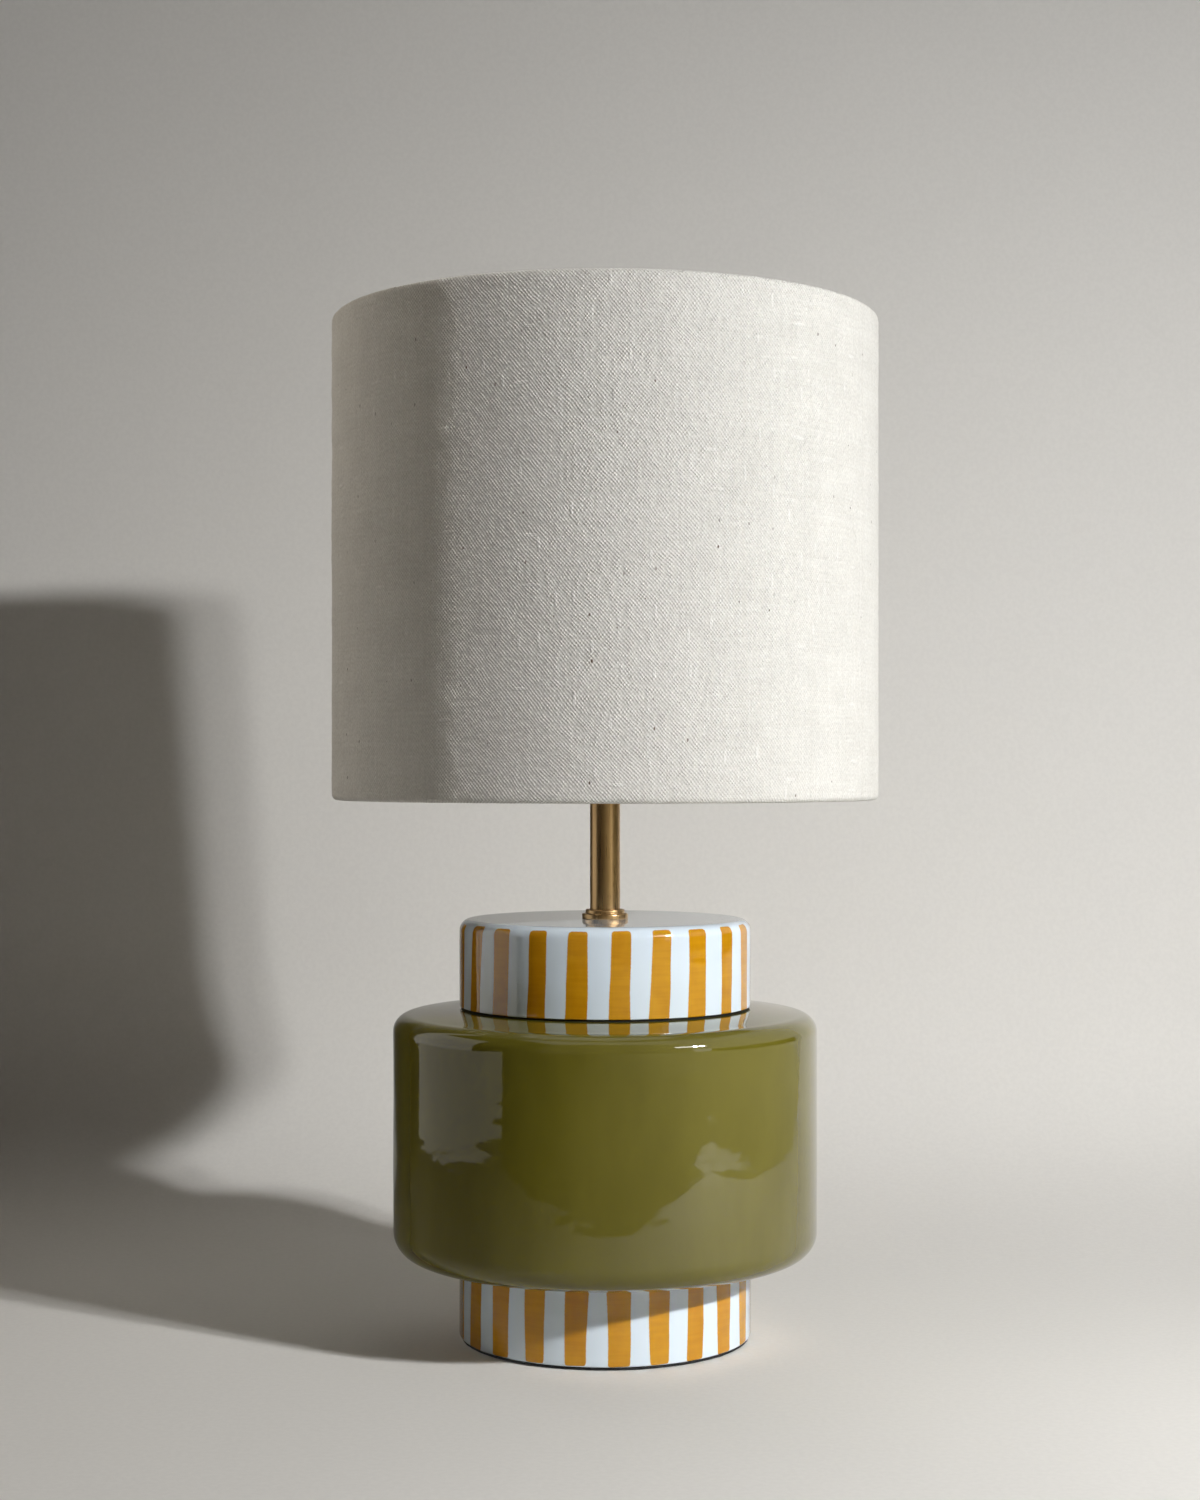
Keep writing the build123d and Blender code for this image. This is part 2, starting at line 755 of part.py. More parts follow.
thread_points = [
    (cap_root_radius + cap_depth * (half_turn % 2), cap_z + half_turn * cap_pitch / 2)
    for half_turn in range(2 * cap_turns + 1)
]
with BuildPart() as bulb_cap:
    with BuildSketch(Plane.XZ):
        with BuildLine():
            Spline(*thread_points, tangents=[(0, 1)] * len(thread_points))
            Polyline(
                (cap_root_radius, thread_top),
                (cap_radius, thread_top),
                (cap_radius, cap_top),
                (cap_radius - cap_wall, cap_top),
                (cap_radius - cap_wall, seat_z),
                (cap_bore_radius, seat_z),
                (cap_bore_radius, cap_z),
                (cap_root_radius, cap_z),
            )
        make_face()
    revolve(axis=Axis.Z)

insulator_z = bulb_z + tip_height
tip_radius = tip_diameter / 2
with BuildPart() as bulb_insulator:
    with BuildSketch(Plane.XZ):
        Polygon(
            (0, insulator_z),
            (tip_radius + insulator_rim, insulator_z),
            (cap_root_radius, cap_z),
            (0, cap_z),
            align=None,
        )
    revolve(axis=Axis.Z)

with BuildPart() as bulb_tip:
    with BuildSketch(Plane.XY.offset(bulb_z)):
        Circle(tip_radius)
    extrude(amount=tip_height)
    fillet(bulb_tip.edges().group_by(Axis.Z)[0], radius=tip_round)

board_z = split_z - board_thickness
inner_waist = bulb_waist_radius + bulb_wall
board_edge = waist_centre - math.sqrt(inner_waist**2 - (board_z - neck_end_z) ** 2)
with BuildPart() as led_board:
    with BuildSketch(Plane.XY.offset(board_z)):
        Circle(board_edge - fit_gap)
    extrude(amount=board_thickness)

with BuildPart() as driver_board:
    with BuildSketch(Plane.XY.offset(cap_z)):
        Rectangle(driver_width, driver_thickness)
    extrude(amount=board_z - cap_z)


# Wiring: cord bush, terminal block with its screws, and the three inner wires

bush_radius = bush_diameter / 2
bush_lip_radius = bush_lip_diameter / 2
bush_lip_y = math.sqrt(disc_bore_radius**2 - bush_lip_radius**2) - bush_gap
lip_plane = Plane(origin=(0, bush_lip_y, inlet_height), x_dir=(1, 0, 0), z_dir=(0, 1, 0))
bush_length = disc_radius - bush_lip_y + bush_lip_thickness
with BuildPart() as cord_bush:
    with BuildSketch(inlet_plane):
        Circle(bush_flange_diameter / 2)
    extrude(amount=bush_flange_thickness)
    with BuildSketch(inlet_plane):
        Circle(bush_radius)
    extrude(amount=-bush_length)
    with BuildSketch(lip_plane):
        Circle(bush_lip_radius)
    extrude(amount=-bush_lip_thickness)
    with BuildSketch(inlet_plane.offset(bush_flange_thickness)):
        Circle(inlet_bore / 2)
    extrude(amount=-bush_length - bush_flange_thickness, mode=Mode.SUBTRACT)

block_top = cover_top + block_height
pole_z = cover_top + block_height / 2
pole_plane = Plane(origin=(0, block_offset, pole_z), x_dir=(1, 0, 0), z_dir=(0, 1, 0))
with BuildPart() as terminal_block:
    with BuildSketch(Plane.XY.offset(cover_top)):
        with Locations((0, block_offset)):
            Rectangle(block_length, block_width)
    extrude(amount=block_height)
    with BuildSketch(pole_plane):
        with GridLocations(pole_pitch, 0, pole_count, 1):
            Circle(pole_bore / 2)
    extrude(amount=block_width, both=True, mode=Mode.SUBTRACT)
    with BuildSketch(Plane.XY.offset(pole_z)):
        with Locations((0, block_offset)):
            with GridLocations(pole_pitch, 2 * pole_screw_spread, pole_count, 2):
                Circle(pole_screw_diameter / 2 + screw_gap)
    extrude(amount=block_height, mode=Mode.SUBTRACT)
    with BuildSketch(Plane.XY.offset(cover_top)):
        with Locations((0, block_offset)):
            with GridLocations(pole_pitch, 0, pole_count - 1, 1):
                Circle(block_screw_diameter / 2 + screw_gap)
    extrude(amount=block_height, mode=Mode.SUBTRACT)

with BuildPart() as pole_screws:
    with BuildSketch(Plane.XY.offset(pole_z + cord_radius + screw_gap)):
        with Locations((0, block_offset)):
            with GridLocations(pole_pitch, 2 * pole_screw_spread, pole_count, 2):
                Circle(pole_screw_diameter / 2)
    extrude(amount=block_height / 2 - cord_radius - screw_gap)

with BuildPart() as block_screws:
    with BuildSketch(Plane.XY.offset(foot_z)):
        with Locations((0, block_offset)):
            with GridLocations(pole_pitch, 0, pole_count - 1, 1):
                Circle(block_screw_diameter / 2)
    extrude(amount=block_top - foot_z)
    with BuildSketch(Plane.XY.offset(block_top)):
        with Locations((0, block_offset)):
            with GridLocations(pole_pitch, 0, pole_count - 1, 1):
                Circle(block_screw_head / 2)
    extrude(amount=block_screw_head_height)

wire_start = block_offset - wire_insert
clamp_z = core_z - terminal_head_height / 2
clamp_reach = terminal_offset - terminal_head_diameter / 2
wire_plane = Plane(origin=(0, wire_start, pole_z), x_dir=(1, 0, 0), z_dir=(0, -1, 0))


def draw_wire(pole_x, side):
    # From the terminal block to the pipe's mouth, up the pipe and out to a terminal.
    FilletPolyline(
        (pole_x, wire_start, pole_z),
        (pole_x, wire_run, pole_z),
        (0, side * wire_spread, pole_z),
        (0, side * wire_spread, clamp_z),
        (0, side * clamp_reach, clamp_z),
        radius=(wire_bend, wire_bend, wire_top_bend),
    )


with BuildPart() as live_wire:
    with BuildLine():
        draw_wire(-pole_pitch, -1)
    with BuildSketch(wire_plane):
        with Locations((-pole_pitch, 0)):
            Circle(cord_radius)
    sweep()

with BuildPart() as neutral_wire:
    with BuildLine():
        draw_wire(pole_pitch, 1)
    with BuildSketch(wire_plane):
        with Locations((pole_pitch, 0)):
            Circle(cord_radius)
    sweep()

earth_wire_y = earth_tab_reach - earth_tab_width / 2
with BuildPart() as earth_wire:
    with BuildLine():
        FilletPolyline(
            (0, wire_start, pole_z),
            (0, earth_wire_y, pole_z),
            (0, earth_wire_y, earth_tag_z),
            radius=wire_bend,
        )
    with BuildSketch(wire_plane):
        Circle(cord_radius)
    sweep()


pieces = {
    "base_felt": base_felt,
    "base_cover": base_cover,
    "foot_disc": foot_disc,
    "lower_gasket": lower_gasket,
    "body_drum": body_drum,
    "upper_gasket": upper_gasket,
    "top_disc": top_disc,
    "lamp_pipe": lamp_pipe,
    "clamp_plate": clamp_plate,
    "earth_tag": earth_tag,
    "lock_washer": lock_washer,
    "clamp_nut": clamp_nut,
    "flange_washer": flange_washer,
    "stem_flange": stem_flange,
    "stem_tube": stem_tube,
    "stem_cap": stem_cap,
    "lampholder_cup": lampholder_cup,
    "lampholder_skirt": lampholder_skirt,
    "lampholder_core": lampholder_core,
    "screw_shell": screw_shell,
    "centre_contact": centre_contact,
    "live_terminal": live_terminal,
    "neutral_terminal": neutral_terminal,
    "switch_bar": switch_bar,
    "switch_bridge": switch_bridge,
    "lower_shade_ring": lower_shade_ring,
    "upper_shade_ring": upper_shade_ring,
    "shade_top_ring": shade_top_ring,
    "shade_bottom_ring": shade_bottom_ring,
    "fitter_hub": fitter_hub,
    "fitter_spokes": fitter_spokes,
    "shade_liner": shade_liner,
    "shade_fabric": shade_fabric,
    "bulb_globe": bulb_globe,
    "bulb_housing": bulb_housing,
    "bulb_cap": bulb_cap,
    "bulb_insulator": bulb_insulator,
    "bulb_tip": bulb_tip,
    "led_board": led_board,
    "driver_board": driver_board,
    "cord_bush": cord_bush,
    "terminal_block": terminal_block,
    "pole_screws": pole_screws,
    "block_screws": block_screws,
    "live_wire": live_wire,
    "neutral_wire": neutral_wire,
    "earth_wire": earth_wire,
}
for piece_name, piece in pieces.items():
    piece.part.label = piece_name
    export_step(piece.part, f"parts/{piece_name}.step")
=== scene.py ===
import bpy
import numpy as np
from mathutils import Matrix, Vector


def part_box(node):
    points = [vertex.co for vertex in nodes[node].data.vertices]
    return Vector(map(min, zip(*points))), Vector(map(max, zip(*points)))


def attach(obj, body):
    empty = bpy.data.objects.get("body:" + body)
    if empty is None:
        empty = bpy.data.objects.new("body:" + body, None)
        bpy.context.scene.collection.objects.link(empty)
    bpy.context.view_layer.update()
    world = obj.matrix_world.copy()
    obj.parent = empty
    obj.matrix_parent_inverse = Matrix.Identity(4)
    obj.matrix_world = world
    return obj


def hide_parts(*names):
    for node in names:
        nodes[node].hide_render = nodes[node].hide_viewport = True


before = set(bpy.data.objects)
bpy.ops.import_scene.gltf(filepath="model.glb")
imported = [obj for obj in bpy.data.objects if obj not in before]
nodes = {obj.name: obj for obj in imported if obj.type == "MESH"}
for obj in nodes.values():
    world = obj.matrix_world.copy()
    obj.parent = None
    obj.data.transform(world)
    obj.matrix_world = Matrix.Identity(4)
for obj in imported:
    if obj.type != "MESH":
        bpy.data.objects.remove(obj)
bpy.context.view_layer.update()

scene = bpy.context.scene
scene.view_settings.view_transform = "Standard"
print("frame:", len(nodes), "nodes")

mm = 0.001
fullTurn = 2 * np.pi


# camera, as the photograph was taken: level, in front and a little above the drum

cameraSettings = {"place": (-0.0028, -1.3214, 0.3141), "lens": 57.4, "shiftUp": 0.0106}

cameraData = bpy.data.cameras.new("photoCamera")
cameraData.lens = cameraSettings["lens"]
cameraData.sensor_width = 36
cameraData.shift_y = cameraSettings["shiftUp"]
camera = bpy.data.objects.new("photoCamera", cameraData)
camera.location = cameraSettings["place"]
camera.rotation_euler = (np.pi / 2, 0, 0)
scene.collection.objects.link(camera)
scene.camera = camera
print("camera ready")


# small tools for node trees

def addNode(tree, kind, values=None, **choices):
    made = tree.nodes.new("ShaderNode" + kind)
    for key, value in choices.items():
        setattr(made, key, value)
    for key, value in (values or {}).items():
        setSocket(tree, made.inputs[key], value)
    return made


def setSocket(tree, socket, value):
    if isinstance(value, bpy.types.NodeSocket):
        tree.links.new(value, socket)
    else:
        socket.default_value = value


def calc(tree, operation, first, second=None, third=None):
    made = tree.nodes.new("ShaderNodeMath")
    made.operation = operation
    for socket, value in zip(made.inputs, (first, second, third)):
        if value is not None:
            setSocket(tree, socket, value)
    return made.outputs[0]


def span(tree, value, low, high, toLow=0.0, toHigh=1.0, soft=True):
    kind = "SMOOTHSTEP" if soft else "LINEAR"
    made = addNode(tree, "MapRange", {"Value": value, "From Min": low, "From Max": high,
                                      "To Min": toLow, "To Max": toHigh}, interpolation_type=kind)
    return made.outputs["Result"]


def mixColour(tree, share, first, second, blend="MIX"):
    made = tree.nodes.new("ShaderNodeMix")
    made.data_type = "RGBA"
    made.blend_type = blend
    setSocket(tree, made.inputs[0], share)
    setSocket(tree, made.inputs[6], first)
    setSocket(tree, made.inputs[7], second)
    return made.outputs[2]


def stretched(tree, vector, scale):
    return addNode(tree, "VectorMath", {0: vector, 1: scale}, operation="MULTIPLY").outputs[0]


def noise(tree, vector, scale, detail=2.0, rough=0.5):
    made = addNode(tree, "TexNoise", {"Vector": vector, "Scale": scale, "Detail": detail, "Roughness": rough})
    return made.outputs["Fac"]


def objectPlace(tree):
    return addNode(tree, "TexCoord").outputs["Object"]


def bumpInto(tree, shader, height, strength, distance):
    made = addNode(tree, "Bump", {"Height": height, "Strength": strength, "Distance": distance})
    tree.links.new(made.outputs[0], shader.inputs["Normal"])


def newFinish(name, **constants):
    material = bpy.data.materials.new(name)
    material.use_nodes = True
    tree = material.node_tree
    shader = tree.nodes["Principled BSDF"]
    for key, value in constants.items():
        shader.inputs[key.replace("_", " ")].default_value = value
    return material, tree, shader


def rgb(red, green, blue):
    return (red, green, blue, 1.0)


def newGroup(name, inputs, outputs):
    group = bpy.data.node_groups.new(name, "ShaderNodeTree")
    for title, kind in inputs:
        group.interface.new_socket(title, in_out="INPUT", socket_type="NodeSocket" + kind)
    for title in outputs:
        group.interface.new_socket(title, in_out="OUTPUT", socket_type="NodeSocketFloat")
    return group, group.nodes.new("NodeGroupInput").outputs, group.nodes.new("NodeGroupOutput").inputs


def placeGroup(tree, group, values):
    made = tree.nodes.new("ShaderNodeGroup")
    made.node_tree = group
    for key, value in values.items():
        setSocket(tree, made.inputs[key], value)
    return made.outputs


# fineGrain: slow blotches (Tone) and a fine grain (Grain), both 0 to 1, stretched along any axis
grainGroup, given, wanted = newGroup(
    "fineGrain", [("Vector", "Vector"), ("Stretch", "Vector"), ("Scale", "Float")], ["Tone", "Grain"])
pulled = stretched(grainGroup, given["Vector"], given["Stretch"])
slow = noise(grainGroup, pulled, calc(grainGroup, "MULTIPLY", given["Scale"], 0.06), 3.0)
fine = noise(grainGroup, pulled, given["Scale"], 4.0, 0.6)
grainGroup.links.new(span(grainGroup, slow, 0.32, 0.68), wanted["Tone"])
grainGroup.links.new(span(grainGroup, fine, 0.25, 0.75, soft=False), wanted["Grain"])

# glazeSkin: melted glaze. Pool is where it ran thick, Skin its low orange peel, Speck a rare pinhole
glazeGroup, given, wanted = newGroup("glazeSkin", [("Vector", "Vector")], ["Pool", "Skin", "Speck"])
flowing = stretched(glazeGroup, given["Vector"], (1.0, 1.0, 0.35))
glazeGroup.links.new(span(glazeGroup, noise(glazeGroup, flowing, 26.0, 4.0), 0.3, 0.7), wanted["Pool"])
glazeGroup.links.new(noise(glazeGroup, given["Vector"], 210.0, 2.0), wanted["Skin"])
dots = addNode(glazeGroup, "TexVoronoi", {"Vector": given["Vector"], "Scale": 48.0})
glazeGroup.links.new(span(glazeGroup, dots.outputs["Distance"], 0.008, 0.022, 1.0, 0.0), wanted["Speck"])

# plainWeave: two sets of round threads, over and under by turns. Warp and Weft count threads.
# A warp thread's middle rises and falls as sin(pi Weft) with the sign of its own number, a weft thread's the
# other way about, and the higher of the two shows. The warp is the tighter set, so its crossings stand proud by
# sin(pi Warp) sin(pi Weft).
weaveGroup, given, wanted = newGroup(
    "plainWeave", [("Warp", "Float"), ("Weft", "Float")], ["Height", "WarpOnTop", "WarpTone", "WeftTone"])


def threadSet(own, other, sign):
    number = calc(weaveGroup, "FLOOR", own)
    place = calc(weaveGroup, "MULTIPLY_ADD", calc(weaveGroup, "SUBTRACT", own, number), 2.0, -1.0)
    belly = calc(weaveGroup, "SQRT", calc(weaveGroup, "SUBTRACT", 1.0, calc(weaveGroup, "MULTIPLY", place, place)))
    side = calc(weaveGroup, "MULTIPLY_ADD", calc(weaveGroup, "FLOORED_MODULO", number, 2.0), -2.0 * sign, 1.0 * sign)
    rise = calc(weaveGroup, "SINE", calc(weaveGroup, "MULTIPLY", other, np.pi))
    height = calc(weaveGroup, "MULTIPLY_ADD", calc(weaveGroup, "MULTIPLY", rise, side), 0.35, belly)
    tone = addNode(weaveGroup, "TexWhiteNoise", {"W": number}, noise_dimensions="1D").outputs["Value"]
    return height, tone


warpHeight, warpTone = threadSet(given["Warp"], given["Weft"], 1)
weftHeight, weftTone = threadSet(given["Weft"], given["Warp"], -1)
higher = calc(weaveGroup, "MAXIMUM", warpHeight, weftHeight)
proud = calc(weaveGroup, "MULTIPLY", calc(weaveGroup, "SINE", calc(weaveGroup, "MULTIPLY", given["Warp"], np.pi)),
             calc(weaveGroup, "SINE", calc(weaveGroup, "MULTIPLY", given["Weft"], np.pi)))
proud = calc(weaveGroup, "MULTIPLY_ADD", proud, 0.40, 0.40)
weaveGroup.links.new(calc(weaveGroup, "MULTIPLY_ADD", higher, 0.07, proud), wanted["Height"])
weaveGroup.links.new(calc(weaveGroup, "GREATER_THAN", warpHeight, weftHeight), wanted["WarpOnTop"])
weaveGroup.links.new(warpTone, wanted["WarpTone"])
weaveGroup.links.new(weftTone, wanted["WeftTone"])
print("node groups ready")


# finishes of the small and inner pieces: two colours, a grain and a range of roughness each

plainFinishes = {
    "brass": {"pale": (0.60, 0.395, 0.19), "dark": (0.49, 0.305, 0.135), "rough": (0.26, 0.33), "scale": 2600,
              "stretch": (1, 1, 0.02), "bump": 0.05, "Metallic": 1.0},
    "steel": {"pale": (0.60, 0.60, 0.58), "dark": (0.47, 0.47, 0.46), "rough": (0.28, 0.42), "scale": 1800,
              "stretch": (1, 1, 0.1), "bump": 0.15, "Metallic": 1.0},
    "nickel": {"pale": (0.66, 0.64, 0.60), "dark": (0.55, 0.53, 0.49), "rough": (0.16, 0.28), "scale": 1500,
               "stretch": (0.2, 0.2, 1), "bump": 0.08, "Metallic": 1.0},
    "white_wire": {"pale": (0.80, 0.79, 0.76), "dark": (0.71, 0.70, 0.67), "rough": (0.32, 0.50), "scale": 1400,
                   "stretch": (1, 1, 1), "bump": 0.25},
    "shade_film": {"pale": (0.80, 0.79, 0.75), "dark": (0.74, 0.725, 0.68), "rough": (0.42, 0.58), "scale": 900,
                   "stretch": (1, 1, 1), "bump": 0.10},
    "black_rubber": {"pale": (0.014, 0.014, 0.014), "dark": (0.007, 0.007, 0.008), "rough": (0.65, 0.85),
                     "scale": 1600, "stretch": (1, 1, 1), "bump": 0.3, "specular": 0.1},
    "clear_washer": {"pale": (0.74, 0.75, 0.74), "dark": (0.66, 0.67, 0.66), "rough": (0.18, 0.32), "scale": 900,
                     "stretch": (1, 1, 1), "bump": 0.1},
    "fibreboard": {"pale": (0.37, 0.25, 0.14), "dark": (0.24, 0.15, 0.075), "rough": (0.75, 0.9), "scale": 700,
                   "stretch": (1, 0.3, 1), "bump": 0.4},
    "porcelain": {"pale": (0.82, 0.80, 0.755), "dark": (0.76, 0.735, 0.69), "rough": (0.12, 0.24), "scale": 500,
                  "stretch": (1, 1, 1), "bump": 0.08},
    "black_plastic": {"pale": (0.024, 0.023, 0.022), "dark": (0.014, 0.0135, 0.013), "rough": (0.30, 0.48),
                      "scale": 1900, "stretch": (1, 1, 1), "bump": 0.22},
    "white_plastic": {"pale": (0.80, 0.79, 0.76), "dark": (0.75, 0.735, 0.70), "rough": (0.30, 0.44), "scale": 1200,
                      "stretch": (1, 1, 1), "bump": 0.12},
    "opal_plastic": {"pale": (0.86, 0.855, 0.83), "dark": (0.82, 0.81, 0.785), "rough": (0.34, 0.46), "scale": 1100,
                     "stretch": (1, 1, 1), "bump": 0.06},
    "circuit_board": {"pale": (0.12, 0.30, 0.16), "dark": (0.07, 0.21, 0.105), "rough": (0.28, 0.45), "scale": 800,
                      "stretch": (1, 0.15, 1), "bump": 0.2},
    "brown_sleeve": {"pale": (0.17, 0.075, 0.03), "dark": (0.12, 0.05, 0.02), "rough": (0.35, 0.5), "scale": 1200,
                     "stretch": (1, 1, 1), "bump": 0.1},
    "blue_sleeve": {"pale": (0.03, 0.14, 0.42), "dark": (0.02, 0.10, 0.32), "rough": (0.35, 0.5), "scale": 1200,
                    "stretch": (1, 1, 1), "bump": 0.1},
}


def plainFinish(name, look):
    material, tree, shader = newFinish(name + "Finish", Metallic=look.get("Metallic", 0.0),
                                       Specular_IOR_Level=look.get("specular", 0.5))
    place = objectPlace(tree)
    grain = placeGroup(tree, grainGroup, {"Vector": place, "Stretch": look["stretch"], "Scale": look["scale"]})
    tree.links.new(mixColour(tree, grain["Tone"], rgb(*look["dark"]), rgb(*look["pale"])), shader.inputs["Base Color"])
    tree.links.new(span(tree, grain["Grain"], 0, 1, *look["rough"]), shader.inputs["Roughness"])
    bumpInto(tree, shader, grain["Grain"], look["bump"], 0.0001)
    return material


finishes = {name: plainFinish(name, look) for name, look in plainFinishes.items()}

# earth wire's sleeve: green with yellow bands along its run
sleeveLook = {"green": (0.03, 0.22, 0.05), "yellow": (0.72, 0.56, 0.04), "bands": 95.0}
sleeve, tree, shader = newFinish("earthSleeveFinish", Roughness=0.42)
place = objectPlace(tree)
banding = addNode(tree, "TexWave", {"Vector": place, "Scale": sleeveLook["bands"], "Distortion": 1.0},
                  bands_direction="DIAGONAL").outputs["Fac"]
tree.links.new(mixColour(tree, span(tree, banding, 0.6, 0.7), rgb(*sleeveLook["green"]), rgb(*sleeveLook["yellow"])),
               shader.inputs["Base Color"])
finishes["earth_sleeve"] = sleeve

# felt: matted black fibres
feltLook = {"pale": (0.048, 0.047, 0.047), "dark": (0.010, 0.010, 0.011), "fibres": 1700}
felt, tree, shader = newFinish("feltFinish", Roughness=0.95, Specular_IOR_Level=0.1)
place = objectPlace(tree)
crossed = [noise(tree, stretched(tree, place, way), feltLook["fibres"], 3.0) for way in ((1, 0.15, 1), (0.15, 1, 1))]
mat = calc(tree, "MAXIMUM", *crossed)
tree.links.new(mixColour(tree, span(tree, mat, 0.4, 0.75), rgb(*feltLook["dark"]), rgb(*feltLook["pale"])),
               shader.inputs["Base Color"])
bumpInto(tree, shader, mat, 0.6, 0.0003)
finishes["felt"] = felt


# olive glaze: even, deep and very glossy, a little lighter where it ran thin

oliveLook = {"thin": (0.150, 0.130, 0.0165), "thick": (0.120, 0.103, 0.011), "speck": (0.06, 0.05, 0.012),
             "rough": (0.025, 0.06)}
olive, tree, shader = newFinish("oliveGlaze", IOR=1.54, Coat_Weight=0.6, Coat_Roughness=0.02, Coat_IOR=1.5)
place = objectPlace(tree)
skin = placeGroup(tree, glazeGroup, {"Vector": place})
colour = mixColour(tree, skin["Pool"], rgb(*oliveLook["thin"]), rgb(*oliveLook["thick"]))
colour = mixColour(tree, calc(tree, "MULTIPLY", skin["Speck"], 0.35), colour, rgb(*oliveLook["speck"]))
tree.links.new(colour, shader.inputs["Base Color"])
tree.links.new(span(tree, skin["Skin"], 0.3, 0.7, *oliveLook["rough"]), shader.inputs["Roughness"])
bumpInto(tree, shader, skin["Skin"], 0.03, 0.001)
finishes["olive_glaze"] = olive


# striped glaze: ochre brush strokes on white. The attribute strokeEdge is the distance to the stroke's edge in mm,
# below zero inside it, and strokeShade is one random number for each stroke

stripeLook = {"white": (0.75, 0.85, 0.945), "whiteWarm": (0.735, 0.83, 0.91), "ochre": (0.64, 0.305, 0.008),
              "ochreThick": (0.53, 0.225, 0.004), "speck": (0.42, 0.37, 0.30), "rough": (0.03, 0.07)}
striped, tree, shader = newFinish("stripedGlaze", IOR=1.5, Coat_Weight=0.6, Coat_Roughness=0.02, Coat_IOR=1.5)
place = objectPlace(tree)
skin = placeGroup(tree, glazeGroup, {"Vector": place})
edge = addNode(tree, "Attribute", attribute_name="strokeEdge").outputs["Fac"]
strokeTone = addNode(tree, "Attribute", attribute_name="strokeShade").outputs["Fac"]
feather = noise(tree, place, 900.0, 3.0)
edge = calc(tree, "ADD", edge, span(tree, feather, 0.3, 0.7, -0.07, 0.07, soft=False))
paint = span(tree, edge, -0.24, 0.24, 1.0, 0.0)
drag = noise(tree, stretched(tree, place, (26.0, 26.0, 420.0)), 1.0, 3.0, 0.6)  # faint level bristle marks
worn = noise(tree, stretched(tree, place, (55.0, 55.0, 38.0)), 1.0, 3.0, 0.6)  # where the brush ran dry or full
uneven = calc(tree, "ADD", span(tree, drag, 0.35, 0.7, -0.05, 0.35), span(tree, worn, 0.3, 0.7, -0.2, 0.45))
depth = calc(tree, "MULTIPLY_ADD", strokeTone, 0.40, uneven)
ochre = mixColour(tree, depth, rgb(*stripeLook["ochre"]), rgb(*stripeLook["ochreThick"]))
rim = span(tree, edge, -1.2, -0.2, 0.0, 0.10)  # paint gathers at the stroke's edge
ochre = mixColour(tree, rim, ochre, rgb(*stripeLook["ochreThick"]))
bare = mixColour(tree, skin["Pool"], rgb(*stripeLook["whiteWarm"]), rgb(*stripeLook["white"]))
bare = mixColour(tree, calc(tree, "MULTIPLY", skin["Speck"], 0.25), bare, rgb(*stripeLook["speck"]))
tree.links.new(mixColour(tree, paint, bare, ochre), shader.inputs["Base Color"])
tree.links.new(span(tree, skin["Skin"], 0.3, 0.7, *stripeLook["rough"]), shader.inputs["Roughness"])
lumps = calc(tree, "MULTIPLY_ADD", paint, 0.02, calc(tree, "MULTIPLY", skin["Skin"], 0.03))
bumpInto(tree, shader, lumps, 1.0, 0.001)
finishes["striped_glaze"] = striped


# linen: a coarse plain weave on the cloth's own UV map, whose units are metres of cloth

# wander is how the threads stray: scale and detail of a noise, and its reach across and up in metres. Knots are
# given as scale, stretch and share
# gap is the colour of the painted shade in the low places between the threads
linenLook = {"pitchAcross": 0.925 * mm, "pitchUp": 1.07 * mm, "pale": (0.848, 0.836, 0.79),
             "dark": (0.765, 0.742, 0.685), "gap": (0.47, 0.42, 0.36), "fleck": (0.13, 0.088, 0.052),
             "knot": (0.95, 0.935, 0.90), "relief": 0.00042, "slub": 30.0, "flecks": 62.0,
             "wander": [(16.0, 3.0, (0.0040, 0.0050, 0)), (85.0, 1.0, (0.0014, 0.0014, 0)),
                        (310.0, 1.0, (0.00050, 0.00050, 0))],
             "knots": [(105.0, (1.0, 0.22, 1.0), 0.30), (95.0, (0.22, 1.0, 1.0), 0.18)],
             "mottle": (640.0, 55.0), "crossings": 300.0}
linen, tree, shader = newFinish("naturalLinen", Roughness=0.92, Specular_IOR_Level=0.2, Sheen_Weight=0.06,
                                Sheen_Roughness=0.4)
linen.cycles.use_bump_map_correction = False  # threads catch grazing light in full
cloth = addNode(tree, "UVMap", uv_map="clothUV").outputs["UV"]
moved = cloth
for scale, detail, reach in linenLook["wander"]:
    stray = addNode(tree, "TexNoise", {"Vector": cloth, "Scale": scale, "Detail": detail}).outputs["Color"]
    moved = addNode(tree, "VectorMath", {0: stray, 1: reach, 2: moved}, operation="MULTIPLY_ADD").outputs[0]
split = addNode(tree, "SeparateXYZ", {0: moved}).outputs
warp = calc(tree, "DIVIDE", split["X"], linenLook["pitchAcross"])
weft = calc(tree, "DIVIDE", split["Y"], linenLook["pitchUp"])
weave = placeGroup(tree, weaveGroup, {"Warp": warp, "Weft": weft})


def slub(number, along, seed):
    # thick and thin places along each thread: noise that is slow along the thread and jumps from thread to thread
    where = addNode(tree, "CombineXYZ", {"X": calc(tree, "MULTIPLY", calc(tree, "FLOOR", number), 0.731),
                                         "Y": calc(tree, "MULTIPLY", along, linenLook["slub"]), "Z": seed})
    return span(tree, noise(tree, where.outputs[0], 1.0, 2.0), 0.3, 0.75)


warpSlub, weftSlub = slub(warp, split["Y"], 3.1), slub(weft, split["X"], 8.7)
onTop = weave["WarpOnTop"]


def pick(ofWarp, ofWeft):
    made = addNode(tree, "Mix", data_type="FLOAT")
    for key, value in ((0, onTop), (2, ofWeft), (3, ofWarp)):
        setSocket(tree, made.inputs[key], value)
    return made.outputs[0]


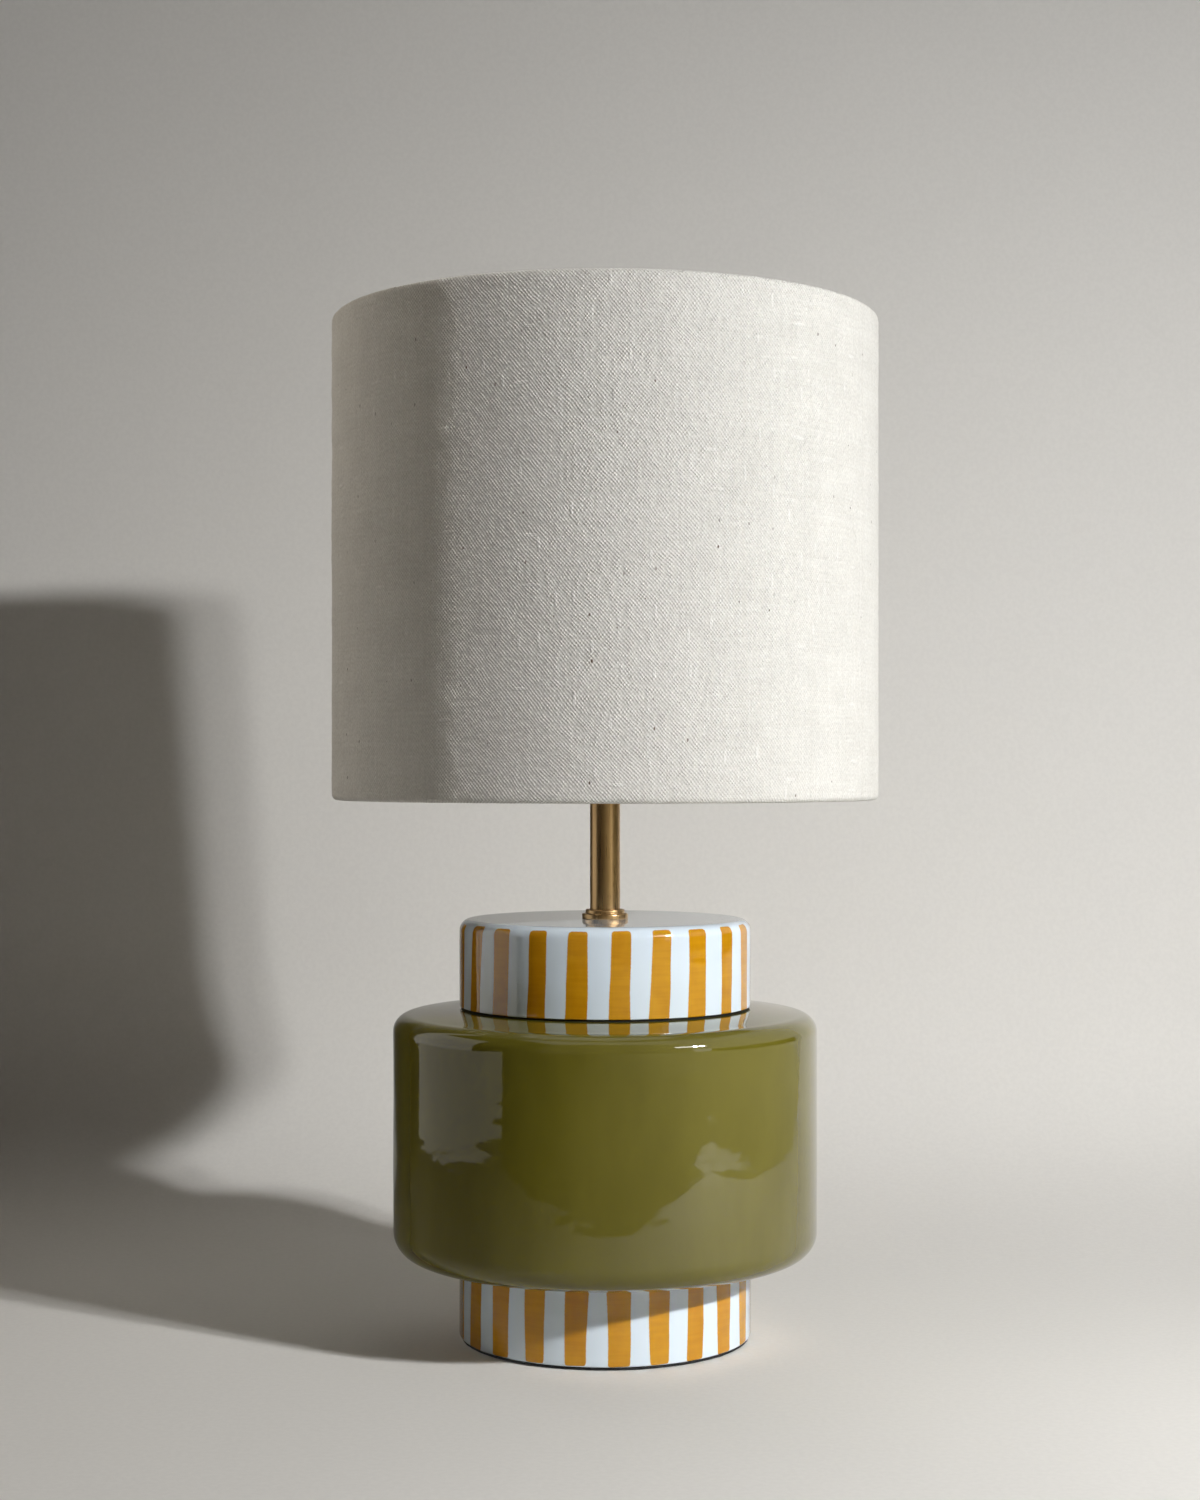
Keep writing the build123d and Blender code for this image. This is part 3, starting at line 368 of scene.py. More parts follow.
tone = calc(tree, "MULTIPLY_ADD", pick(weave["WarpTone"], weave["WeftTone"]), 0.4,
            calc(tree, "MULTIPLY", pick(warpSlub, weftSlub), 0.6))
colour = mixColour(tree, tone, rgb(*linenLook["dark"]), rgb(*linenLook["pale"]))
# painted shade: where the weave is low between threads, the colour is mixed up to 14 percent towards the gap colour
colour = mixColour(tree, span(tree, weave["Height"], 0.10, 0.65, 0.14, 0.0), colour, rgb(*linenLook["gap"]))


def knots(scale, stretch, share):
    # short thick places on a few threads: stretched cells, of which a share holds one
    cells = addNode(tree, "TexVoronoi", {"Vector": stretched(tree, moved, stretch), "Scale": scale},
                    voronoi_dimensions="2D")
    chosen = addNode(tree, "SeparateColor", {0: cells.outputs["Color"]}).outputs["Red"]
    return calc(tree, "MULTIPLY", span(tree, cells.outputs["Distance"], 0.05, 0.11, 1.0, 0.0),
                calc(tree, "LESS_THAN", chosen, share))


knot = calc(tree, "MAXIMUM", *[knots(*kind) for kind in linenLook["knots"]])
colour = mixColour(tree, calc(tree, "MULTIPLY", knot, 0.35), colour, rgb(*linenLook["knot"]))
bits = addNode(tree, "TexVoronoi", {"Vector": stretched(tree, moved, (1.0, 0.55, 1.0)),
                                     "Scale": linenLook["flecks"]}, voronoi_dimensions="2D")
rare = addNode(tree, "SeparateColor", {0: bits.outputs["Color"]}).outputs
fleckSize = span(tree, rare["Red"], 0.35, 1.0, 0.0, 0.032, soft=False)
frayed = calc(tree, "MULTIPLY_ADD", noise(tree, moved, 2600.0, 1.0), 0.03, -0.015)
fleck = calc(tree, "LESS_THAN", calc(tree, "ADD", bits.outputs["Distance"], frayed), fleckSize)
colour = mixColour(tree, calc(tree, "MULTIPLY", fleck, span(tree, rare["Green"], 0.0, 1.0, 0.25, 0.95)), colour,
                   rgb(*linenLook["fleck"]))
fineMottle = span(tree, noise(tree, cloth, linenLook["mottle"][0], 1.0), 0.3, 0.7, -0.05, 0.05)
slowMottle = span(tree, noise(tree, cloth, linenLook["mottle"][1], 3.0), 0.3, 0.7, 0.94, 0.99)
mottled = calc(tree, "ADD", fineMottle, slowMottle)
grey = addNode(tree, "CombineXYZ", {0: mottled, 1: mottled, 2: mottled}).outputs[0]
tree.links.new(stretched(tree, colour, grey), shader.inputs["Base Color"])
# some crossings stand higher
uneven = span(tree, noise(tree, cloth, linenLook["crossings"], 1.0), 0.3, 0.7, 0.45, 1.5)
relief = calc(tree, "MULTIPLY_ADD", pick(warpSlub, weftSlub), 0.10, calc(tree, "MULTIPLY", weave["Height"], uneven))
relief = calc(tree, "MULTIPLY_ADD", knot, 0.45, relief)
bumpInto(tree, shader, relief, 1.0, linenLook["relief"])
finishes["linen"] = linen
print("finishes ready:", len(finishes))


# small tools for surfaces

def profile(corners, arcSteps=10, closed=True):
    # Corners are (radius, height, rounding, longest step to the next corner) in mm. A rounded corner becomes an
    # arc that touches both sides, and straight runs are cut into equal steps.
    count = len(corners)
    spots = np.array([corner[:2] for corner in corners], float)
    points = []
    for i, here in enumerate(spots):
        rounding = corners[i][2]
        if rounding:
            back = spots[i - 1] - here
            ahead = spots[(i + 1) % count] - here
            back, ahead = back / np.linalg.norm(back), ahead / np.linalg.norm(ahead)
            half = np.arccos(np.clip(back @ ahead, -1, 1)) / 2
            middle = here + (back + ahead) / np.linalg.norm(back + ahead) * rounding / np.sin(half)
            first, last = here + back * rounding / np.tan(half), here + ahead * rounding / np.tan(half)
            start = np.arctan2(*(first - middle)[::-1])
            turn = (np.arctan2(*(last - middle)[::-1]) - start + np.pi) % fullTurn - np.pi
            sweep = start + turn * np.linspace(0, 1, arcSteps)
            points.append(middle + rounding * np.stack([np.cos(sweep), np.sin(sweep)], 1))
        else:
            points.append(here[None])
    made = []
    for i in range(count if closed else count - 1):
        begin, end = points[i][-1], points[(i + 1) % count][0]
        pieces = max(1, int(np.ceil(np.linalg.norm(end - begin) / corners[i][3])))
        made += [points[i], begin + (end - begin) * np.arange(1, pieces)[:, None] / pieces]
    return np.concatenate(made if closed else made + [points[-1]])


def waves(angle, height, bands, seed):
    # Sum of cosines, each with whole turns round the axis, a wave length up the piece and a random phase.
    # A band is (how many, most turns, shortest and longest wave in mm, size in mm).
    dice = np.random.default_rng(seed)
    total = np.zeros(np.broadcast(angle, height).shape)
    for count, most, shortest, longest, size in bands:
        turns = dice.integers(-most, most + 1, count)
        lengths = dice.uniform(shortest, longest, count)
        phases = dice.uniform(0, fullTurn, count)
        for turn, length, phase in zip(turns, lengths, phases):
            total += size / np.sqrt(count) * np.cos(turn * angle + fullTurn * height / length + phase)
    return total


def easeStep(value, low, high):
    share = np.clip((value - low) / (high - low), 0, 1)
    return share * share * (3 - 2 * share)


def columnAngles(columns):
    return np.linspace(0, fullTurn, columns, endpoint=False)


def roundAxis(radius, height, angle):
    # A profile carried round the axis: x = r cos a, y = r sin a, in metres
    radius, height, angle = np.broadcast_arrays(radius, height, angle)
    return np.stack([radius * np.cos(angle), radius * np.sin(angle), height], -1) * mm


def layMesh(name, points, ends="ring", uv=None):
    # Quads between neighbouring rows of a grid that is closed round the axis. Its first and last row join
    # (ring), stay open, or shrink to a point each (poles).
    rows, columns = points.shape[:2]
    flat = points.reshape(-1, 3)
    low = np.arange(rows if ends == "ring" else rows - 1)
    if ends == "poles":
        low = low[1:-1]
    left = np.arange(columns)
    right = (left + 1) % columns
    up = (low + 1) % rows
    below, above = low[:, None] * columns, up[:, None] * columns
    quads = np.stack([below + left, below + right, above + right, above + left], -1).reshape(-1, 4)
    faces = quads.tolist()
    if ends == "poles":
        last = (rows - 2) * columns
        fans = np.concatenate([np.stack([0 * left, columns + right, columns + left], 1),
                               np.stack([last + left, last + right, 0 * left + (rows - 1) * columns], 1)])
        faces += fans.tolist()
        used = np.concatenate([[0], np.arange(columns, (rows - 1) * columns + 1)])
        number = np.zeros(rows * columns, int)
        number[used] = np.arange(len(used))
        flat = flat[used]
        faces = [[int(number[k]) for k in face] for face in faces]
    mesh = bpy.data.meshes.new(name)
    mesh.from_pydata(flat.tolist(), [], faces)
    mesh.polygons.foreach_set("use_smooth", np.ones(len(faces), bool))
    if uv is not None:
        # uv has one column more than the points, so that the last quad of a row ends where the cloth ends
        beside = left + 1
        corner = np.stack([uv[low][:, left], uv[low][:, beside], uv[up][:, beside], uv[up][:, left]], 2)
        mesh.uv_layers.new(name="clothUV").uv.foreach_set("vector", corner.astype(np.float32).ravel())
    mesh.update()
    piece = bpy.data.objects.new(name, mesh)
    scene.collection.objects.link(piece)
    return piece


def fit(piece, body, slot, *replaced):
    piece.data.materials.append(finishes[slot])
    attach(piece, body)
    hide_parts(*replaced)
    print("piece", piece.name, len(piece.data.polygons), "faces")
    return piece


# drum: a thrown shell with soft edges, whose wall is never quite true, so that reflections waver

drum = {"radius": 116.6, "low": 46.1, "high": 181.1, "wall": 7.0, "topRound": 9.5, "lowRound": 13.0, "hole": 20.0,
        "dome": 3.0, "domeFrom": 81, "domeFade": (50, 9), "columns": 420, "seed": 11,
        "bands": [(6, 4, 70, 160, 0.14), (14, 7, 16, 36, 0.018), (26, 22, 8, 18, 0.010), (36, 100, 4.5, 10, 0.0055)]}
outer, inner = drum["radius"], drum["radius"] - drum["wall"]
loop = profile([
    (drum["hole"], drum["low"], 1, 8), (outer, drum["low"], drum["lowRound"], 1.6),
    (outer, drum["high"], drum["topRound"], 4), (drum["hole"], drum["high"], 1, 8),
    (drum["hole"], drum["high"] - drum["wall"], 1, 20), (inner, drum["high"] - drum["wall"], 3, 30),
    (inner, drum["low"] + drum["wall"], 3, 20), (drum["hole"], drum["low"] + drum["wall"], 1, 8)], arcSteps=14)
angle = columnAngles(drum["columns"])
radius, height = loop[:, :1], loop[:, 1:]
wander = waves(angle, height, drum["bands"], drum["seed"])
onWall = easeStep(radius, outer - 6.0, outer - 1.0)
# the top falls away from the disc to the shoulder; lower down the wall the fall fades out
sunk = np.clip((radius - drum["domeFrom"]) / (outer - drum["topRound"] - drum["domeFrom"]), 0, 1) ** 1.2
sunk = sunk * easeStep(height, *[drum["high"] - fall for fall in drum["domeFade"]])
drumShell = layMesh("drumShell", roundAxis(radius + wander * onWall, height - drum["dome"] * sunk, angle))
fit(drumShell, "base", "olive_glaze", "body_drum")


# striped discs: each stroke is (middle, width at the top, width at the bottom, lean) in degrees round the disc,
# counted from the front to the right. The strokes that the front shows are given, the rest are drawn at random.

topDisc = {"radius": 80.3, "low": 182.1, "high": 229.9, "bore": 73.3, "roof": 222.9, "hole": 5.75, "topRound": 6.0,
           "lowRound": 0.6, "strokeLow": 0.7, "strokeHigh": 4.6, "corner": 1.8, "columns": 720, "seed": 5,
           "bands": [(6, 5, 40, 90, 0.05), (10, 9, 10, 24, 0.012)],
           "strokes": [(-75.8, 7.6, 7.8, -1.5), (-59.5, 7.8, 7.9, -2.8), (-43.5, 8.0, 8.1, -1.1),
                       (-26.5, 7.0, 7.8, -1.2), (-10.6, 7.5, 8.5, -1.2), (5.6, 7.1, 8.2, -0.7),
                       (21.2, 7.5, 8.2, -1.8), (37.2, 8.1, 8.4, -0.8), (53.9, 7.2, 7.0, -0.7),
                       (69.6, 7.8, 8.2, 0.3), (86.0, 7.6, 8.0, -0.4)]}
foot = {"radius": 80.3, "low": 1.5, "high": 44.7, "bore": 73.3, "roof": 37.7, "hole": 5.75, "topRound": 1.5,
        "lowRound": 1.4, "strokeLow": 1.2, "strokeHigh": 1.4, "corner": 1.6, "columns": 720, "seed": 8,
        "rebate": 75.3, "coverTop": 4.5, "inletHeight": 22.0, "inletRadius": 5.7, "inletColumns": 48,
        "bands": [(6, 5, 40, 90, 0.05), (10, 9, 10, 24, 0.012)],
        "strokes": [(-76.5, 8.6, 8.8, -0.5), (-59.9, 8.6, 8.9, -0.5), (-43.6, 9.0, 8.3, -0.8), (-27.5, 8.7, 7.9, -0.4),
                    (-11.0, 9.0, 8.1, -0.9), (5.1, 9.3, 8.1, 0.0), (20.6, 8.7, 7.4, 0.2), (36.2, 7.5, 7.4, -0.5),
                    (51.8, 9.2, 7.8, 0.4), (67.9, 8.7, 7.4, 0.4), (84.0, 8.6, 8.0, 0.0)]}
strokeCount = 22


def allStrokes(disc, dice):
    shown = np.array(disc["strokes"])
    hidden = strokeCount - len(shown)
    gap = (360 - shown[-1, 0] + shown[0, 0]) / (hidden + 1)
    middle = shown[-1, 0] + gap * np.arange(1, hidden + 1) + dice.uniform(-0.7, 0.7, hidden)
    wide = dice.uniform(7.2, 9.0, hidden)
    rest = np.stack([middle, wide, wide + dice.uniform(-0.6, 0.8, hidden), dice.uniform(-1.6, 0.8, hidden)], 1)
    return np.concatenate([shown, rest])


def strokeDistance(disc, angle, run):
    # Distance in mm to the nearest stroke's edge: a rectangle with rounded corners, laid on the wall. Across is
    # measured along the arc and up along the profile; both sides waver and the middle leans.
    dice = np.random.default_rng(disc["seed"])
    around = np.degrees(angle) + 90
    tall = run.max()
    up = np.clip(run / tall, 0, 1)
    nearest = np.full(np.broadcast(run, angle).shape, 99.0)
    tone = np.zeros(nearest.shape)
    for middle, wideTop, wideLow, lean in allStrokes(disc, dice):
        phase = dice.uniform(0, fullTurn, 4)
        sway = 0.13 * np.sin(run / 9 + phase[0]) + 0.03 * np.sin(run / 3.6 + phase[1])
        swell = 0.16 * np.sin(run / 8 + phase[2]) + 0.03 * np.sin(run / 3 + phase[3])
        axis = middle + lean * (0.5 - up) + sway
        wide = wideLow + (wideTop - wideLow) * up + swell
        off = (around - axis + 180) % 360 - 180
        degree = disc["radius"] * np.pi / 180
        across = np.abs(off) * degree - wide / 2 * degree + disc["corner"]
        lowEnd = disc["strokeLow"] + dice.uniform(-0.3, 0.5) + 0.05 * off
        highEnd = tall - disc["strokeHigh"] - dice.uniform(-0.5, 0.6) + 0.07 * off * dice.uniform(-1, 1)
        along = np.maximum(lowEnd - run, run - highEnd) + disc["corner"]
        distance = (np.hypot(np.maximum(across, 0), np.maximum(along, 0)) + np.minimum(np.maximum(across, along), 0)
                    - disc["corner"])
        closer = distance < nearest
        nearest = np.where(closer, distance, nearest)
        tone = np.where(closer, dice.uniform(0, 1), tone)
    return nearest, tone


def makeDisc(name, disc, loop):
    angle = columnAngles(disc["columns"])
    radius, height = loop[:, :1], loop[:, 1:]
    onWall = easeStep(radius, disc["radius"] - 4, disc["radius"] - 0.5)
    wander = waves(angle, height, disc["bands"], disc["seed"])
    piece = layMesh(name, roundAxis(radius + wander * onWall, height, angle))
    # run: mm up the outside from the foot of the wall, past the shoulder
    outside = (radius[:, 0] > disc["radius"] - disc["topRound"] - 0.01)
    steps = np.hypot(np.diff(radius[:, 0], append=radius[0, 0]), np.diff(height[:, 0], append=height[0, 0]))
    first = np.argmax(outside)
    run = np.concatenate([[0], np.cumsum(steps)[:-1]])
    run = np.where(outside & (np.arange(len(run)) < first + outside.sum()), run - run[first], -20.0)[:, None]
    distance, tone = strokeDistance(disc, angle, run)
    for title, values in (("strokeEdge", distance), ("strokeShade", tone)):
        piece.data.attributes.new(title, "FLOAT", "POINT").data.foreach_set("value", values.astype(np.float32).ravel())
    return piece


loop = profile([
    (topDisc["bore"], topDisc["low"], 0.5, 2), (topDisc["radius"], topDisc["low"], topDisc["lowRound"], 1.2),
    (topDisc["radius"], topDisc["high"], topDisc["topRound"], 5), (topDisc["hole"], topDisc["high"], 0.6, 8),
    (topDisc["hole"], topDisc["roof"], 0.6, 20), (topDisc["bore"], topDisc["roof"], 2, 20)], arcSteps=9)
fit(makeDisc("topDisc", topDisc, loop), "base", "striped_glaze", "top_disc")

loop = profile([
    (foot["rebate"], foot["low"], 0.3, 2), (foot["radius"], foot["low"], foot["lowRound"], 1.2),
    (foot["radius"], foot["high"], foot["topRound"], 6), (foot["hole"], foot["high"], 0.6, 8),
    (foot["hole"], foot["roof"], 0.6, 20), (foot["bore"], foot["roof"], 2, 10),
    (foot["bore"], foot["coverTop"], 0.3, 2), (foot["rebate"], foot["coverTop"], 0.3, 2)], arcSteps=7)
footDisc = makeDisc("footDisc", foot, loop)

# the cord's hole through the back of the foot
turn = columnAngles(foot["inletColumns"])
reach = np.array([60.0, 60.0, 90.0, 90.0])[:, None]
spread = np.array([0, foot["inletRadius"], foot["inletRadius"], 0])[:, None]
drill = layMesh("inletDrill", np.stack(np.broadcast_arrays(
    spread * np.cos(turn), reach, foot["inletHeight"] - spread * np.sin(turn)), -1) * mm, ends="poles")
hole = footDisc.modifiers.new("inlet", "BOOLEAN")
hole.operation = "DIFFERENCE"
hole.object = drill
hole.solver = "EXACT"
drilled = bpy.data.meshes.new_from_object(footDisc.evaluated_get(bpy.context.evaluated_depsgraph_get()))
footDisc.modifiers.clear()
footDisc.data = drilled
bpy.data.objects.remove(drill)
fit(footDisc, "base", "striped_glaze", "foot_disc")


# linen: one sheet round the shade, rolled over both wire rings and tucked in behind them, with a lap at the back.
# Its rows follow the path up the shade and its columns go round; near each spoke the lower tuck is cut short.

shade = {"radius": 150.0, "low": 295.5, "high": 558.5, "roll": 2.9, "tuck": [(147.7, 6.0), (145.9, 4.0), (144.2, 1.8)],
         "thick": 0.7, "seam": 0.32, "lap": 17.0, "lapRise": 0.55, "spokes": (90.0, 210.0, 330.0), "spokeGap": 4.6,
         "cutBack": 6.4, "looseFrom": 148.0, "columns": 500, "rows": 61, "seed": 21,
         "bands": [(8, 5, 60, 200, 0.10), (24, 30, 12, 40, 0.09), (60, 150, 7, 26, 0.11)]}
ringRadius = shade["radius"] - shade["roll"]
ringLow, ringHigh = shade["low"] + shade["roll"], shade["high"] - shade["roll"]
arc = np.linspace(np.pi, fullTurn, 13)
lowRoll = np.stack([ringRadius + shade["roll"] * np.cos(arc), ringLow + shade["roll"] * np.sin(arc)], 1)
highRoll = np.stack([ringRadius - shade["roll"] * np.cos(arc), ringHigh - shade["roll"] * np.sin(arc)], 1)
# a tuck is given as radius and distance behind its ring's middle
lowTuck = np.array(shade["tuck"]) + (0, ringLow)
highTuck = np.array(shade["tuck"])[::-1] * (1, -1) + (0, ringHigh)
wall = np.stack([np.full(shade["rows"], shade["radius"]), np.linspace(ringLow, ringHigh, shade["rows"])], 1)
path = np.concatenate([lowTuck, lowRoll[:-1], wall, highRoll[1:], highTuck])
along = np.concatenate([[0], np.cumsum(np.linalg.norm(np.diff(path, axis=0), axis=1))])
lapTurn = shade["lap"] / shade["radius"]
atLap = [0.0008, lapTurn, lapTurn + 0.004, lapTurn + 0.008, fullTurn - 0.0012]  # close columns at the lap's ends
angle = np.pi / 2 + shade["seam"] + np.sort(np.concatenate([columnAngles(shade["columns"]), atLap]))
turned = angle - angle[0]
nearSpoke = np.min([np.abs((np.degrees(angle) - spoke + 180) % 360 - 180) for spoke in shade["spokes"]], axis=0)
nearSpoke = nearSpoke * np.pi / 180 * ringRadius
short = shade["cutBack"] * (1 - easeStep(nearSpoke, shade["spokeGap"] * 0.6, shade["spokeGap"] * 1.4))
run = np.maximum(along[:, None], short)  # the tuck's rows stop where it is cut
radius = np.interp(run, along, path[:, 0])
height = np.interp(run, along, path[:, 1])
outside = np.broadcast_to(easeStep(path[:, :1], shade["looseFrom"], shade["radius"]), radius.shape)
loose = waves(angle, height, shade["bands"], shade["seed"])
loose = loose + shade["lapRise"] * (1 - easeStep(turned, lapTurn, lapTurn + 0.03))
uv = np.stack(np.broadcast_arrays(np.append(turned, fullTurn) * shade["radius"] * mm,
                                  np.concatenate([run, run[:, :1]], 1) * mm), -1)
linenShade = layMesh("linenShade", roundAxis(radius + loose * outside, height, angle), ends="open", uv=uv)
thickness = linenShade.modifiers.new("thickness", "SOLIDIFY")
thickness.thickness = shade["thick"] * mm
thickness.offset = -1
fit(linenShade, "shade", "linen", "shade_fabric")


# felt under the foot: a thin round pad with a soft, slightly ragged edge

pad = {"radius": 79.2, "columns": 360, "seed": 4, "bands": [(12, 60, 2, 9, 0.10)]}
outline = np.array([(0, 0), (20, 0), (45, 0), (65, 0), (76, 0), (78.8, 0.1), (79.2, 0.5), (79.2, 1.0), (78.8, 1.4),
                    (76, 1.5), (65, 1.5), (45, 1.5), (20, 1.5), (0, 1.5)])
angle = columnAngles(pad["columns"])
ragged = waves(angle, outline[:, 1:], pad["bands"], pad["seed"]) * easeStep(outline[:, :1], 72, 79)
feltPad = layMesh("feltPad", roundAxis(outline[:, :1] + ragged, outline[:, 1:], angle), ends="poles")
fit(feltPad, "base", "felt", "base_felt")


# flange at the stem's foot: a rim and a second ring on it, turned from the solid

flange = {"radius": 12.7, "low": 229.9, "rimTop": 232.9, "ring": 10.8, "high": 235.1, "socket": 8.4, "seat": 232.3,
          "bore": 5.2, "washer": 10.1, "washerTop": 230.9, "columns": 160}
loop = profile([
    (flange["washer"], flange["low"], 0, 3), (flange["radius"], flange["low"], 0.3, 1),
    (flange["radius"], flange["rimTop"], 0.8, 1), (flange["ring"], flange["rimTop"], 0.25, 1),
    (flange["ring"], flange["high"], 0.9, 1), (flange["socket"], flange["high"], 0.15, 2),
    (flange["socket"], flange["seat"], 0, 3), (flange["bore"], flange["seat"], 0, 2),
    (flange["bore"], flange["washerTop"], 0, 5), (flange["washer"], flange["washerTop"], 0, 1)], arcSteps=7)
angle = columnAngles(flange["columns"])
fit(layMesh("stemFlange", roundAxis(loop[:, :1], loop[:, 1:], angle)), "base", "brass", "stem_flange")


# bulb cap: a rolled screw thread, one pitch up in each turn: r = root + depth (1 + cos(a - 2 pi z / pitch)) / 2

thread = {"root": 12.2, "depth": 0.9, "pitch": 3.62, "turns": 4, "skirt": 6.0, "wall": 0.5, "columns": 144}
low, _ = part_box("bulb_cap")
bottom = low.z / mm
threadTop = bottom + thread["turns"] * thread["pitch"]
top = threadTop + thread["skirt"]
crest = thread["root"] + thread["depth"]
outerHeights = np.concatenate([np.linspace(bottom, threadTop, 64), np.linspace(threadTop + 0.5, top, 6)])[:, None]
angle = columnAngles(thread["columns"])
wind = thread["depth"] * (1 + np.cos(angle - fullTurn * (outerHeights - bottom) / thread["pitch"])) / 2
edges = easeStep(outerHeights, bottom, bottom + 1.2) * (1 - easeStep(outerHeights, threadTop - 1.2, threadTop))
outside = np.where(outerHeights > threadTop, crest, thread["root"] + wind * edges)
inside = np.where(outerHeights > threadTop + 1.0, crest - thread["wall"], thread["root"] - thread["wall"]) + 0 * angle
grid = np.concatenate([roundAxis(outside, outerHeights, angle), roundAxis(inside, outerHeights, angle)[::-1]])
fit(layMesh("bulbCap", grid), "bulb", "nickel", "bulb_cap")


# liner: the stiff film that the linen is glued to

film = {"bore": 148.6, "radius": 149.1, "low": 300.5, "high": 553.5, "columns": 240}
loop = profile([(film["bore"], film["low"], 0, 1), (film["radius"], film["low"], 0, 12),
                (film["radius"], film["high"], 0, 1), (film["bore"], film["high"], 0, 12)])
angle = columnAngles(film["columns"])
fit(layMesh("filmLiner", roundAxis(loop[:, :1], loop[:, 1:], angle)), "shade", "shade_film", "shade_liner")


# the other nodes keep their shape and get the finish of their slot

for node in nodes.values():
    if not node.hide_render:
        node.data.materials[0] = finishes[node.data.materials[0].name]
print("nodes dressed")


# stage: a seamless paper sweep whose wall leans back a little, a larger ground that only the camera sees, cards that
# fill the shaded side, dark flags that only reflections see, a pair of key lights side by side, a lamp that rakes over
# the shaded side, two strips of highlight and a card beneath

stage = {"paper": (0.81, 0.79, 0.752), "front": -0.53, "left": -0.89, "right": 0.70, "drop": 0.0002,
         "curve": [(0.12, 0.0), (0.38, 0.0), (0.445, 0.035), (0.4675, 0.17)], "wallTop": (0.6145, 1.9),
         "dim": 0.78, "fill": (0.010, 0.008, 0.006), "seen": (0.56, 0.545, 0.515), "groundDepth": 0.0006,
         "groundReach": 9.0, "touch": 0.002}


def hideWhere(tree, hidden, shown):
    # Clear where hidden is 1
    clear = addNode(tree, "BsdfTransparent").outputs[0]
    either = addNode(tree, "MixShader", {0: hidden, 1: shown, 2: clear})
    tree.links.new(either.outputs[0], tree.nodes["Material Output"].inputs["Surface"])


def fromBehind(tree):
    return addNode(tree, "NewGeometry").outputs["Backfacing"]


paper, tree, shader = newFinish("paper", Roughness=0.9, Specular_IOR_Level=0.15)
place = objectPlace(tree)
fibre = span(tree, noise(tree, place, 320.0, 4.0), 0.3, 0.7)
tree.links.new(mixColour(tree, fibre, rgb(*[part * 0.97 for part in stage["paper"]]), rgb(*stage["paper"])),
               shader.inputs["Base Color"])
# reflections find the paper dimmer on the left, as if a flag stood over it
across = addNode(tree, "SeparateXYZ", {0: place}).outputs["X"]
ray = addNode(tree, "LightPath").outputs
dim = calc(tree, "MULTIPLY", span(tree, across, -0.5, 0.32, stage["dim"], 0.0), ray["Is Glossy Ray"])
dark = addNode(tree, "Emission", {"Strength": 0.0}).outputs[0]
flagged = addNode(tree, "MixShader", {0: dim, 1: shader.outputs[0], 2: dark}).outputs[0]
# clear from behind, and for the felt that lies on it, so that a view from beneath finds the felt lit
touching = calc(tree, "MULTIPLY", calc(tree, "LESS_THAN", ray["Ray Length"], stage["touch"]), ray["Is Diffuse Ray"])
hideWhere(tree, calc(tree, "MAXIMUM", fromBehind(tree), touching), flagged)


def glowFinish(name, strength, colour=(1.0, 0.985, 0.96)):
    made, tree, shader = newFinish(name, Base_Color=rgb(0, 0, 0), Roughness=1.0, Specular_IOR_Level=0.0)
    shader.inputs["Emission Color"].default_value = rgb(*colour)
    shader.inputs["Emission Strength"].default_value = strength
    return made, tree, shader


def sheetOf(name, points, finish):
    # A grid of points, two to a row, as quads
    number = np.arange(len(points) * 2).reshape(-1, 2)
    faces = np.stack([number[:-1, 0], number[:-1, 1], number[1:, 1], number[1:, 0]], 1)
    mesh = bpy.data.meshes.new(name)
    mesh.from_pydata(np.asarray(points, float).reshape(-1, 3).tolist(), [], faces.tolist())
    mesh.polygons.foreach_set("use_smooth", np.ones(len(faces), bool))
    mesh.materials.append(finish)
    made = bpy.data.objects.new(name, mesh)
    scene.collection.objects.link(made)
    return made


def upright(x, front, back, low, high):
    return [[(x, front, low), (x, back, low)], [(x, front, high), (x, back, high)]]


def facing(y, left, right, low, high):
    return [[(left, y, low), (right, y, low)], [(left, y, high), (right, y, high)]]


def lying(z, left, right, front, back):
    return [[(left, front, z), (right, front, z)], [(left, back, z), (right, back, z)]]


def onlyReflected(made):
    made.visible_camera = made.visible_diffuse = made.visible_shadow = made.visible_transmission = False


def onlyDiffuse(made):
    made.visible_camera = made.visible_glossy = made.visible_shadow = made.visible_transmission = False


# the sweep's curve is a cubic Bezier from the floor to the wall's foot, drawn out along X. It lies a hair below the
# felt, so that the two never share a plane
share = np.linspace(0, 1, 40)[:, None]
one, two, three, four = np.array(stage["curve"])
curve = ((1 - share) ** 3 * one + 3 * (1 - share) ** 2 * share * two + 3 * (1 - share) * share ** 2 * three
         + share ** 3 * four)
sweep = np.concatenate([[(stage["front"], 0.0)], curve, [stage["wallTop"]]]) - (0, stage["drop"])
sides = np.array([stage["left"], stage["right"]])
sheetOf("paperSweep", np.stack(np.broadcast_arrays(sides, sweep[:, :1], sweep[:, 1:]), -1), paper)

far, tree, shader = newFinish("farGround", Base_Color=rgb(*stage["paper"]), Roughness=0.9, Specular_IOR_Level=0.15)
place = objectPlace(tree)
away = addNode(tree, "VectorMath", {0: place}, operation="LENGTH").outputs["Value"]
plain = addNode(tree, "Emission", {"Color": rgb(*stage["seen"])}).outputs[0]
fading = addNode(tree, "MixShader", {0: span(tree, away, 0.5, 1.3), 1: shader.outputs[0], 2: plain}).outputs[0]
hideWhere(tree, fromBehind(tree), fading)
reach = stage["groundReach"]
farGround = sheetOf("ground", lying(-stage["groundDepth"], -reach, reach, -reach, reach), far)
farGround.visible_diffuse = farGround.visible_glossy = farGround.visible_shadow = False

